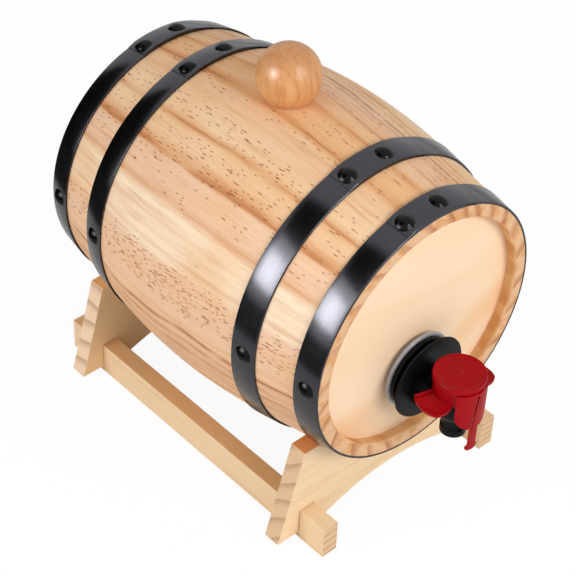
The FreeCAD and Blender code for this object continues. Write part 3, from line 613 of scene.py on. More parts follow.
    def surface(self, **values: Value) -> Material:
        """Sets the Principled shader's inputs and returns the material.

        Args:
            values: inputs by name, with _ for a space.

        Returns:
            The material.
        """
        shader = self.existing("ShaderNodeBsdfPrincipled")
        for key, value in values.items():
            self.feed(shader.inputs[key.replace("_", " ")], value)
        return self.material


@dataclass(frozen=True)
class Weave:
    """Noise on a surface: how fine it is across and along, how rough and how large."""

    across: float
    along: float
    start: float = 0.0
    detail: float = 2.0
    roughness: float = 0.5
    size: float = 1.0

    def over(self, across: Signal, along: Signal) -> Signal:
        """The noise at a place across and along the surface."""
        return across.graph.noise((across * self.across, along * self.along, self.start),
                                  self.detail, self.roughness)

    def swing(self, across: Signal, along: Signal) -> Signal:
        """The noise around zero, as far as its size."""
        return (self.over(across, along) - 0.5) * self.size


# ---- Finishes


@dataclass(frozen=True)
class Finish(ABC):
    """Surface of a piece, made once as a material."""

    name: str

    @abstractmethod
    def paint(self, graph: Graph) -> Material:
        """Fills the graph and returns its material."""

    def material(self) -> Material:
        """The finish's material."""
        made = bpy.data.materials.get(self.name)
        return made or self.paint(Graph.of_material(self.name))


class Tone(Enum):
    """Colours of the cask's wood."""

    PALE = srgb(248, 212, 170)
    YELLOW = srgb(255, 230, 198)
    TAN = srgb(242, 198, 156)
    PINK = srgb(242, 200, 166)
    TOP = srgb(240, 189, 138)
    # SHADE: darker tan; the stave band near -110 degrees is partly painted shade, the cut
    # ends use it for specks.
    SHADE = srgb(226, 178, 138)
    ORANGE = srgb(218, 150, 92)
    RUST = srgb(196, 126, 80)
    STREAK = srgb(176, 106, 72)
    PORE = srgb(142, 58, 12)
    END = srgb(230, 188, 146)
    END_DARK = srgb(218, 156, 100)
    END_LINE = srgb(172, 98, 52)
    CHIME = srgb(236, 190, 136)


Bands = tuple[tuple[float, Tone], ...]
Levels = tuple[tuple[float, float], ...]
Rows = tuple[tuple[float, float, float, float], ...]


@dataclass(frozen=True)
class PoreRow:
    """Pores of one length, each in a cell of the wood."""

    cell_width: float
    cell_length: float
    size: float
    strength: float
    rarity: float
    shift: float


@dataclass(frozen=True)
class StaveWood(Finish):
    """Softwood staves: tone bands with some painted shade, fine grain and dark pores."""

    drift: Weave = Weave(0.03, 0.012, detail=1.0, size=2.6)
    waver: Weave = Weave(0.2, 0.05, 3.0, 1.0, size=0.9)
    warmth: Weave = Weave(0.045, 0.016, 12.0, 1.0)
    broad: Weave = Weave(0.2, 0.012, 9.0, 3.0, 0.6)
    fade: Weave = Weave(0.1, 0.022, 4.0)
    bend: Weave = Weave(0.05, 0.018, 6.0, 1.0, size=7.0)
    thin: Weave = Weave(0.25, 0.05, 8.0)
    fine: Weave = Weave(1.1, 0.045, 0.0, 4.0, 0.65)
    chime: Weave = Weave(0.09, 0.03, 14.0)
    cluster: Weave = Weave(0.16, 0.035, 2.0, size=0.9)
    end_jitter: Weave = Weave(0.3, 0.4, size=2.0)
    end_patch: Weave = Weave(0.16, 0.12, 7.0)
    degree: float = 1.45
    end_from: float = 105.8
    inside_from: float = 68.2
    head_from: float = 99.0
    end_lean: float = 0.6
    end_middle: float = 71.0
    # The SHADE stops at -110 and -108 degrees, low on the left side, are partly the wood's
    # tone and partly painted shade.
    bands: Bands = (
        (-180, Tone.TAN), (-160, Tone.PINK), (-142, Tone.TAN), (-126, Tone.PINK),
        (-110, Tone.SHADE), (-108, Tone.SHADE), (-95, Tone.TAN), (-90, Tone.PINK),
        (-75, Tone.PINK), (-72, Tone.YELLOW), (-57, Tone.YELLOW), (-54.5, Tone.PINK),
        (-43, Tone.PINK), (-40, Tone.TAN), (-31, Tone.PALE), (-27, Tone.PALE),
        (-14, Tone.TAN), (-7, Tone.TOP), (2, Tone.TOP), (7, Tone.TAN), (16, Tone.PINK),
        (34, Tone.PALE), (50, Tone.YELLOW), (70, Tone.TAN), (90, Tone.PALE),
        (110, Tone.PINK), (130, Tone.TAN), (150, Tone.YELLOW), (180, Tone.TAN))
    joints: Rows = (
        (-160, 0.7, 2.6, 0.8), (-131, 0.7, 2.2, 0.6), (-93.5, 0.7, 1.8, 0.5),
        (-86.5, 0.4, 0.8, 0.35), (-70.5, 0.4, 0.8, 0.45), (-66.5, 0.4, 0.8, 0.3),
        (-62, 0.4, 0.8, 0.35), (-56.0, 0.4, 3.0, 1.1), (-42.6, 1.0, 6.0, 1.1),
        (-29.4, 2.0, 2.2, 0.9), (-25, 0.4, 0.8, 0.3), (-17.5, 0.6, 1.2, 0.4),
        (-8.6, 1.6, 3.4, 1.0), (3.8, 1.6, 2.6, 1.0), (46, 0.8, 2.6, 0.9),
        (70, 0.7, 1.8, 0.6), (88, 0.8, 2.6, 0.9), (118, 0.7, 1.8, 0.7),
        (146, 0.9, 3.0, 0.9))
    streaks: Rows = (
        (-171, 0.8, 0.4, 0.6), (-153, 0.8, 0.4, 0.5), (-136, 0.8, 0.4, 0.6),
        (-118, 1.3, 0.5, 1.0), (-112, 1.3, 0.5, 0.9), (-105.5, 1.0, 0.4, 0.8),
        (-101, 1.0, 0.4, 1.0), (-97, 1.5, 0.6, 1.2), (11.5, 1.0, 0.4, 0.8),
        (14.5, 0.8, 0.3, 0.6), (17.5, 0.9, 0.4, 1.1), (20, 0.8, 0.3, 0.9),
        (22.5, 1.0, 0.4, 1.0), (26.5, 1.2, 0.5, 0.8), (31, 1.2, 0.5, 0.8),
        (36, 1.1, 0.4, 0.45), (58, 0.8, 0.3, 0.4), (98, 0.8, 0.3, 0.7),
        (102, 0.7, 0.3, 0.5), (107, 0.9, 0.3, 0.6), (132, 0.8, 0.3, 0.5),
        (157, 0.8, 0.3, 0.6), (166, 0.9, 0.3, 0.5))
    pore_share: Levels = (
        (-180, 0.3), (-160, 0.55), (-140, 0.3), (-112, 0.2), (-89, 0.15), (-86, 1.0),
        (-75, 1.0), (-72, 0.08), (-57, 0.06), (-50, 0.4), (-46, 0.35), (-41, 0.55),
        (-33, 0.5), (-29, 0.15), (-27, 0.75), (-22, 0.6), (-19, 0.2), (-14, 0.3),
        (-11, 0.6), (-7, 0.15), (0, 0.55), (4, 0.2), (16, 0.35), (30, 0.25), (60, 0.7),
        (80, 0.25), (110, 0.35), (125, 0.75), (150, 0.3), (180, 0.3))
    pore_gap: float = 0.17
    pore_rows: tuple[PoreRow, ...] = (
        PoreRow(1.6, 6.5, 0.2, 0.8, 0.0, 0.0), PoreRow(2.2, 13.0, 0.16, 0.9, 0.05, 71.0),
        PoreRow(2.8, 30.0, 0.11, 0.95, 0.1, 143.0))
    end_after: float = 0.7
    end_rows: tuple[tuple[float, float, float], ...] = (
        (-163, 4, 0.8), (-150, 4, 0.6), (-138, 5, 0.8), (-119, 4, 0.9), (-105, 4, 0.7),
        (-95, 3, 0.8), (-84, 4, 0.5), (-66, 5, 0.4), (-47, 4, 0.6), (-32, 4, 0.6),
        (-17, 4, 0.6), (-3, 4, 0.8), (9, 4, 1.0), (17, 4, 0.7), (25, 4, 1.0),
        (36, 4, 0.8), (47.5, 4, 1.0), (60, 5, 0.6), (76, 5, 0.7), (94, 4, 0.9),
        (108, 5, 0.6), (126, 5, 0.8), (144, 5, 0.6), (160, 5, 0.8))

    def paint(self, graph: Graph) -> Material:
        """Paints the bands, joints, streaks, pores and cut ends.

        Args:
            graph: the material's graph.

        Returns:
            The material.
        """
        across, along, up = graph.place_on_cask()
        angle = graph.math("ARCTAN2", across, up) * math.degrees(1)
        girth = angle * self.degree
        seen = angle + self.drift.swing(angle, along) + self.waver.swing(angle, along)
        colour = graph.ramp(seen / 360 + 0.5, [(place / 360 + 0.5, tone.value)
                                               for place, tone in self.bands])
        warm = self.warmth.over(angle, along)
        colour = graph.tint(colour, Tone.TOP, warm, 0.46, 0.68, 0.6)
        broad = self.broad.over(girth, along)
        colour = graph.tint(colour, Tone.ORANGE, broad, 0.5, 0.75, 0.4)
        colour = graph.tint(colour, Tone.PALE, broad, 0.48, 0.25, 0.5)
        fade = self.fade.over(angle, along)
        joints = graph.lines(seen, self.joints)
        colour = graph.mix(joints * graph.span(fade, 0.34, 0.6, 0.6, 1.0), colour,
                           Tone.ORANGE)
        core = graph.span(joints, 0.55, 0.9) * graph.span(fade, 0.42, 0.6)
        colour = graph.mix(core * 0.75, colour, Tone.RUST)
        streaks = graph.lines(angle + self.bend.swing(angle, along), self.streaks)
        thin = self.thin.over(angle, along)
        colour = graph.mix(streaks * graph.span(thin, 0.36, 0.56, 0.15, 0.8), colour,
                           Tone.STREAK)
        fine = self.fine.over(girth, along)
        colour = graph.tint(colour, Tone.RUST, fine, 0.5, 0.7, 0.3)
        colour = graph.tint(colour, Tone.PALE, fine, 0.5, 0.3, 0.3)
        pores = self.pores(graph, girth, along, angle)
        colour = graph.mix(pores, colour, Tone.PORE)
        wall = graph.math("SQRT", across * across + up * up)
        ends = graph.span(abs(along), self.end_from, self.end_from + 0.3)
        inner = graph.span(wall, self.inside_from, self.inside_from - 0.6)
        colour = graph.mix(ends, colour, self.end_grain(graph, angle, wall, across, up))
        shade = self.chime.over(angle, along)
        chime = graph.tint(Tone.CHIME, Tone.END_DARK, shade, 0.4, 0.62)
        inner = inner * graph.span(abs(along), self.head_from, self.head_from + 0.3)
        colour = graph.mix(inner, colour, chime)
        return graph.surface(
            Base_Color=colour, Roughness=graph.span(fine, 0.3, 0.7, 0.5, 0.62),
            Specular_IOR_Level=0.12, Normal=graph.bump(fine, 0.08))

    def pores(self, graph: Graph, girth: Signal, along: Signal, angle: Signal) -> Signal:
        """Short dark marks along the grain, in loose clusters.

        Args:
            graph: the material's graph.
            girth: way round the cask in millimetres.
            along: way along it.
            angle: way round in degrees.

        Returns:
            How dark the marks are, from 0 to 1.
        """
        share = graph.round_curve(angle, self.pore_share)
        room = share * 0.95 - self.pore_gap + self.cluster.swing(angle, along)
        cells = {"voronoi_dimensions": "2D"}
        total: Optional[Signal] = None
        for row in self.pore_rows:
            where = graph.vector(girth / row.cell_width + row.shift,
                                 along / row.cell_length + row.shift)
            values = {"Vector": where, "Scale": 1.0, "Randomness": 1.0}
            near = graph.node("ShaderNodeTexVoronoi", cells, values, "Distance")
            pick = graph.node("ShaderNodeTexVoronoi", cells, values, "Color")
            chance = graph.node("ShaderNodeSeparateColor", {}, {0: pick})
            chosen = graph.span(chance + room, 1.0 + row.rarity, 1.06 + row.rarity)
            mark = graph.span(near, row.size, row.size * 0.4) * chosen * row.strength
            total = mark if total is None else graph.math("MAXIMUM", total, mark)
        return total

    def end_grain(self, graph: Graph, angle: Signal, wall: Signal, across: Signal,
                  up: Signal) -> Signal:
        """Cut ends of the staves, with the year rings as slanted lines.

        Args:
            graph: the material's graph.
            angle: way round the cask in degrees.
            wall: distance from the cask's axis.
            across: way across.
            up: way up.

        Returns:
            The colour.
        """
        lean = angle + (wall - self.end_middle) * self.end_lean
        place = lean + self.end_jitter.swing(angle, wall)
        lines = graph.lines(place, [(middle, before, self.end_after, strength)
                                    for middle, before, strength in self.end_rows])
        speck = graph.noise((across * 1.3, up * 1.3), 3.0)
        base = graph.tint(Tone.END, Tone.SHADE, speck, 0.4, 0.7)
        patch = self.end_patch.over(angle, wall)
        base = graph.tint(base, Tone.END_DARK, patch, 0.46, 0.62, 0.75)
        return graph.mix(lines ** 0.8 * 0.9, base, Tone.END_LINE)


class Grain(Enum):
    """Axis that a straight board's grain follows."""

    X = 0
    Y = 1
    Z = 2


@dataclass(frozen=True)
class PineWood(Finish):
    """Sawn pine: soft lines along the grain, year rings on the cut ends, painted shade on
    faces that look up.
    """

    grain: Grain
    light: Colour = srgb(247, 217, 177)
    dark: Colour = srgb(234, 190, 138)
    cut: Colour = srgb(229, 194, 155)
    ring: Colour = srgb(190, 142, 108)
    # Colour of faces that look up: painted shade where the cask covers them.
    top: Colour = srgb(236, 190, 134)
    top_shade_share: float = 0.0
    top_shade_from: float = -1000.0
    lean: float = 0.0
    spacing: float = 12.0
    wave: tuple[float, float] = (0.02, 0.008)
    wave_push: float = 5.0
    rings: tuple[float, float] = (0.24, 0.01)
    fibre: tuple[float, float] = (1.7, 0.04)
    top_shade_fade: float = 8.0
    roughness: float = 0.58
    seed: float = 0.0

    def paint(self, graph: Graph) -> Material:
        """Paints the grain, the painted shade on faces that look up, and the cut ends.

        Args:
            graph: the material's graph.

        Returns:
            The material.
        """
        parts = list(graph.place())
        along = parts.pop(self.grain.value)
        first, second = parts
        across, onward = self.wave
        wave = graph.noise((first * across + self.seed, second * across, along * onward),
                           1.0)
        push = wave * self.wave_push
        across, onward = self.rings
        rings = graph.noise((first * across + push + self.seed, second * across + push,
                             along * onward))
        across, onward = self.fibre
        fine = graph.noise((first * across, second * across + self.seed, along * onward),
                           3.0, 0.6)
        facing = graph.node("ShaderNodeNewGeometry", {}, {}, "True Normal")
        side = graph.node("ShaderNodeSeparateXYZ", {}, {0: facing}, self.grain.value)
        upward = graph.node("ShaderNodeSeparateXYZ", {}, {0: facing}, 2)
        colour = graph.tint(self.light, self.dark, rings, 0.5, 0.76, 0.5)
        # Painted shade: faces that look up take the darker top colour, in full where the
        # cask covers them along the grain and at a tenth beyond.
        under_cask_shade = graph.span(along, self.top_shade_from - self.top_shade_fade,
                             self.top_shade_from + self.top_shade_fade, 0.1, 1.0)
        colour = graph.mix(graph.span(upward, 0.5, 0.9) * under_cask_shade * self.top_shade_share, colour,
                           self.top)
        colour = graph.tint(colour, self.dark, fine, 0.5, 0.8, 0.35)
        cut = graph.span(abs(side), 0.75, 0.9)
        colour = graph.mix(cut, colour, self.cut_end(graph, first, second))
        return graph.surface(
            Base_Color=colour, Roughness=self.roughness, Specular_IOR_Level=0.25,
            Normal=graph.bump(fine * 0.5 + rings * 0.5, 0.1))

    def cut_end(self, graph: Graph, first: Signal, second: Signal) -> Signal:
        """Year rings across a cut end.

        Args:
            graph: the material's graph.
            first: way along one side of the end.
            second: way along the other.

        Returns:
            The colour.
        """
        bend = graph.noise((first * 0.04, second * 0.04, self.seed), 1.0)
        teeth = graph.math("FRACT", (second + first * self.lean + bend * 6) / self.spacing
                           + self.seed * 0.31)
        line = graph.span(teeth, 0.35, 0.97) ** 2.0 * graph.span(teeth, 1.0, 0.97)
        speck = graph.noise((first * 1.2, second * 1.2, self.seed), 3.0)
        base = graph.tint(self.cut, self.dark, speck, 0.42, 0.7, 0.4)
        return graph.mix(line * 0.7, base, self.ring)


@dataclass(frozen=True)
class HeadWood(Finish):
    """Pale board of a cask head, with faint bands across."""

    light: Colour = srgb(254, 224, 191)
    shade: Colour = srgb(252, 219, 182)
    line: Colour = srgb(236, 194, 146)
    warm: Colour = srgb(246, 194, 138)
    lean: float = 0.1
    wave: Weave = Weave(0.012, 0.03, 2.0)
    fine: Weave = Weave(0.03, 0.8, 0.0, 3.0, 0.6)
    blush: float = 0.0
    blush_height: float = 80.0
    blush_slant: float = 0.5
    blush_reach: tuple[float, float] = (18.0, 2.0)
    blush_sides: tuple[float, float] = (12.0, 40.0)

    def paint(self, graph: Graph) -> Material:
        """Paints the bands and the blush.

        Args:
            graph: the material's graph.

        Returns:
            The material.
        """
        across, _, up = graph.place()
        slope = up + across * self.lean
        wave = self.wave.over(across, slope)
        broad = graph.noise((across * 0.006, slope * 0.05 + wave * 1.2), 3.0)
        fine = self.fine.over(across, slope)
        colour = graph.tint(self.light, self.shade, broad, 0.4, 0.7)
        colour = graph.tint(colour, self.line, fine, 0.45, 0.75, 0.1)
        slant = graph.math("MAXIMUM", across, 0.0) * self.blush_slant
        low = abs(up - self.blush_height - slant + wave * 8)
        patch = graph.span(low, *self.blush_reach) * graph.span(abs(across),
                                                                *self.blush_sides)
        colour = graph.mix(patch * self.blush, colour, self.warm)
        return graph.surface(
            Base_Color=colour, Roughness=graph.span(fine, 0.3, 0.7, 0.42, 0.55),
            Specular_IOR_Level=0.25, Normal=graph.bump(fine, 0.05))


@dataclass(frozen=True)
class KnobWood(Finish):
    """Varnished turned wood."""

    light: Colour = srgb(222, 160, 104)
    ring: Colour = srgb(210, 142, 84)
    line: Colour = srgb(188, 116, 66)
    crown: Colour = srgb(192, 130, 84)
    scratch: Colour = srgb(244, 198, 150)
    crown_low: float = 104.0
    crown_high: float = 118.0
    groove: float = 92.5

    def paint(self, graph: Graph) -> Material:
        """Paints the rings, the dark crown and the groove.

        Args:
            graph: the material's graph.

        Returns:
            The material.
        """
        across, along, up = graph.place_on_cask()
        bend = graph.noise((across * 0.06, along * 0.06, up * 0.03), 1.0)
        rings = graph.noise((across * 0.26 + bend * 0.6, along * 0.1, up * 0.02), 2.0)
        fine = graph.noise((across * 1.8, along * 1.2, up * 0.09), 3.0, 0.6)
        colour = graph.ramp(rings, [(0.3, srgb(230, 172, 116)), (0.48, self.light),
                                    (0.53, self.ring), (0.58, self.light),
                                    (0.75, srgb(226, 166, 110))])
        colour = graph.tint(colour, self.line, fine, 0.48, 0.72, 0.2)
        crown = graph.span(up, self.crown_low, self.crown_high)
        colour = graph.mix(crown * 0.5, colour, self.crown)
        line = graph.span(abs(up - self.groove), 0.45, 0.1)
        colour = graph.mix(line * 0.5, colour, self.scratch)
        return graph.surface(
            Base_Color=colour, Roughness=graph.span(fine, 0.3, 0.7, 0.3, 0.36),
            Specular_IOR_Level=0.4, Normal=graph.bump(fine * 0.3 - line, 0.08))


@dataclass(frozen=True)
class Steel(Finish):
    """Dark rolled steel with fine lines along the strip."""

    dark: Colour = srgb(70, 70, 74)
    light: Colour = srgb(77, 77, 82)
    rolled: Weave = Weave(2.6, 1.4, 0.0, 3.0, 0.7)
    cloud: Weave = Weave(0.12, 3.0, 5.0)

    def paint(self, graph: Graph) -> Material:
        """Paints the rolled lines.

        Args:
            graph: the material's graph.

        Returns:
            The material.
        """
        across, along, up = graph.place()
        angle = graph.math("ARCTAN2", across, up - CASK.z)
        rolled = self.rolled.over(along, angle)
        cloud = self.cloud.over(along, angle)
        colour = graph.tint(self.dark, self.light, rolled, 0.3, 0.7)
        return graph.surface(
            Base_Color=colour, Metallic=1.0,
            Roughness=graph.span(rolled + cloud * 0.6, 0.6, 1.1, 0.17, 0.22),
            Normal=graph.bump(rolled, 0.002))


@dataclass(frozen=True)
class Moulded(Finish):
    """Moulded plastic, rubber or enamel, with a faint texture."""

    colour: Colour
    roughness: float
    texture: float = 0.02
    grit: float = 1.6
    mottle: float = 0.1
    coat: float = 0.0
    gloss: float = 0.5

    def paint(self, graph: Graph) -> Material:
        """Paints the colour with its mottle and grit.

        Args:
            graph: the material's graph.

        Returns:
            The material.
        """
        grain = graph.even_noise(self.grit, 3.0, 0.6)
        cloud = graph.even_noise(0.09)
        darker = tuple(level * (1 - self.mottle * 2) for level in self.colour)
        colour = graph.tint(self.colour, darker, cloud, 0.35, 0.7)
        rough = graph.span(grain, 0.3, 0.7, self.roughness - 0.05, self.roughness + 0.05)
        return graph.surface(
            Base_Color=colour, Roughness=rough, Specular_IOR_Level=self.gloss,
            Coat_Weight=self.coat, Coat_Roughness=0.06,
            Normal=graph.bump(grain, self.texture))


@dataclass(frozen=True)
class Foil(Finish):
    """Crumpled metal film of the bag."""

    light: Colour = srgb(200, 202, 206)
    dark: Colour = srgb(168, 170, 176)

    def paint(self, graph: Graph) -> Material:
        """Paints the folds.

        Args:
            graph: the material's graph.

        Returns:
            The material.
        """
        folds = graph.even_noise(0.06, 4.0, 0.6)
        return graph.surface(
            Base_Color=graph.mix(folds, self.light, self.dark),
            Metallic=1.0, Roughness=graph.span(folds, 0.3, 0.7, 0.22, 0.4),
            Normal=graph.bump(folds, 3.0))


@dataclass(frozen=True)
class Cork(Finish):
    """Natural cork with dark specks."""

    stops: tuple[tuple[float, Colour], ...] = (
        (0.36, srgb(110, 70, 42)), (0.48, srgb(196, 150, 104)), (0.7, srgb(216, 172, 124)))

    def paint(self, graph: Graph) -> Material:
        """Paints the specks.

        Args:
            graph: the material's graph.

        Returns:
            The material.
        """
        specks = graph.even_noise(0.8, 4.0, 0.7)
        return graph.surface(
            Base_Color=graph.ramp(specks, self.stops),
            Roughness=graph.span(specks, 0.3, 0.7, 0.9, 0.75),
            Normal=graph.bump(specks, 0.3))


STAVE_WOOD = StaveWood("stave_wood")
# The top colours here are painted shade on faces that look up under the cask.
BOARD_PINE = {
    End.FRONT: PineWood("front_board_pine", Grain.X, top=srgb(206, 128, 66),
                        top_shade_share=0.88, lean=0.7),
    End.REAR: PineWood("rear_board_pine", Grain.X, light=srgb(242, 207, 160),
                       cut=srgb(247, 216, 184), top=srgb(230, 168, 98),
                       top_shade_share=0.7, lean=0.1, seed=2.0)}
RAIL_PINE = PineWood("rail_pine", Grain.Y, light=srgb(245, 214, 174),
                     dark=srgb(230, 186, 134), top=srgb(226, 172, 112), top_shade_share=0.75,
                     top_shade_from=-68.0, spacing=4.5, seed=3.0)
DOWEL_PINE = PineWood("dowel_pine", Grain.Z, seed=5.0)
FRONT_WOOD = HeadWood("front_head_wood", blush=0.6)
REAR_WOOD = HeadWood("rear_head_wood")
KNOB_WOOD = KnobWood("knob_wood_varnished")
STEEL = Steel("hoop_steel_dark")
RIVET = Moulded("rivet_black", srgb(8, 8, 9), 0.14, texture=0.003, gloss=0.15)
SILVER = Moulded("gland_grey", srgb(168, 168, 172), 0.34, mottle=0.06, coat=0.3)
BLACK = Moulded("tap_black_satin", srgb(14, 15, 17), 0.36, texture=0.012, gloss=0.1)
RED = Moulded("tap_red_satin", srgb(161, 1, 13), 0.38, mottle=0.05, gloss=0.12)
RUBBER = Moulded("seal_rubber_black", srgb(34, 34, 34), 0.7)
SILICONE = Moulded("dome_rubber_grey", srgb(150, 150, 150), 0.55)
STEM = Moulded("stem_white", srgb(214, 214, 210), 0.4)
CORK = Cork("cork_natural")
FILM = Foil("bag_foil")


# ---- Assemblies


class Assembly(ABC):
    """Group of pieces that is built and then dressed."""

    @abstractmethod
    def build(self) -> None:
        """Makes the pieces."""

    def hand_over(self, piece: Piece, body: str, slot: str, finish: Finish,
                  *nodes: str) -> None:
        """Gives a piece its finish and its part in the frame.

        Args:
            piece: what was built.
            body: the body it moves with.
            slot: not used.
            finish: its surface.
            nodes: the frame's nodes that it stands for.
        """
        piece.data.materials.clear()
        piece.data.materials.append(finish.material())
        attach(piece, body)
        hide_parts(*nodes)
        LOG.info("%s: %d faces", piece.name, len(piece.data.polygons))

    def dress(self, finish: Finish, *nodes: str) -> None:
        """Gives nodes of the frame a finish.

        Args:
            finish: their surface.
            nodes: the nodes' names.
        """
        for node in nodes:
            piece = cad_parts[node]
            piece.data.materials.clear()
            piece.data.materials.append(finish.material())
            LOG.info("%s: dressed", node)


@dataclass
class CradleStand(Assembly):
    """Two cradle boards on two rails."""

    board_reach: float = 84.7
    board_thickness: float = 10.4
    top_reach: float = 65.2
    foot_reach: float = 81.65
    top: float = 63.8
    foot: float = 4.4
    saddle: float = 79.73
    arch_reach: float = 48.0
    arch_radius: float = 128.5
    notch_in: float = 55.9
    notch_out: float = 66.6
    notch_top: float = 20.8
    rail_width: float = 10.3
    rail_height: float = 20.6
    rail_length: float = 217.6
    edge: float = 0.5

    def build(self) -> None:
        """Makes the boards and rails."""
        for end in End:
            self.board(end)
        for side, name in ((-1, "left_rail"), (1, "right_rail")):
            self.rail(side, name)
        self.dress(DOWEL_PINE, "stand_dowels")

    def board(self, end: End) -> None:
        """Makes one board with its saddle, notches and arch.

        Args:
            end: the end of the cask that it is at.
        """
        reach = math.sqrt(self.saddle ** 2 - (CASK.z - self.top) ** 2)
        flank = [(self.top_reach, self.top), (self.foot_reach, self.foot)]
        notch = [(self.notch_out, self.foot), (self.notch_out, self.notch_top),
                 (self.notch_in, self.notch_top), (self.notch_in, self.foot)]
        saddle = bow((-reach, self.top), (reach, self.top), -self.saddle, 40)
        arch = bow((self.arch_reach, self.foot), (-self.arch_reach, self.foot),
                   -self.arch_radius, 32)
        outline = [*mirrored(flank), *saddle, *flank, *notch, *arch, *mirrored(notch)]
        mesh = bmesh.new()
        middle = CASK.y + self.board_reach * end.value
        prism(mesh, outline, self.board_thickness,
              Matrix.Translation((0, middle, 0)) @ Matrix.Rotation(math.pi / 2, 4, "X"))
        name = f"{end.name.lower()}_cradle_board"
        piece = as_object(f"{name}_wood", mesh)
        soften(piece, self.edge)
        self.hand_over(piece, "stand", "stand_pine", BOARD_PINE[end], name)

    def rail(self, side: int, name: str) -> None:
        """Makes one rail.

        Args:
            side: -1 for left or 1 for right.
            name: its node.
        """
        half = self.rail_width / 2
        low = side * (self.notch_in + self.notch_out) / 2
        mesh = bmesh.new()
        prism(mesh, [(-half, 0), (-half, self.rail_height), (half, self.rail_height),
                     (half, 0)], self.rail_length,
              Matrix.Translation((low, CASK.y, 0)) @ Matrix.Rotation(math.pi / 2, 4, "X"))
        piece = as_object(f"{name}_wood", mesh)
        soften(piece, self.edge)
        self.hand_over(piece, "stand", "stand_pine", RAIL_PINE, name)


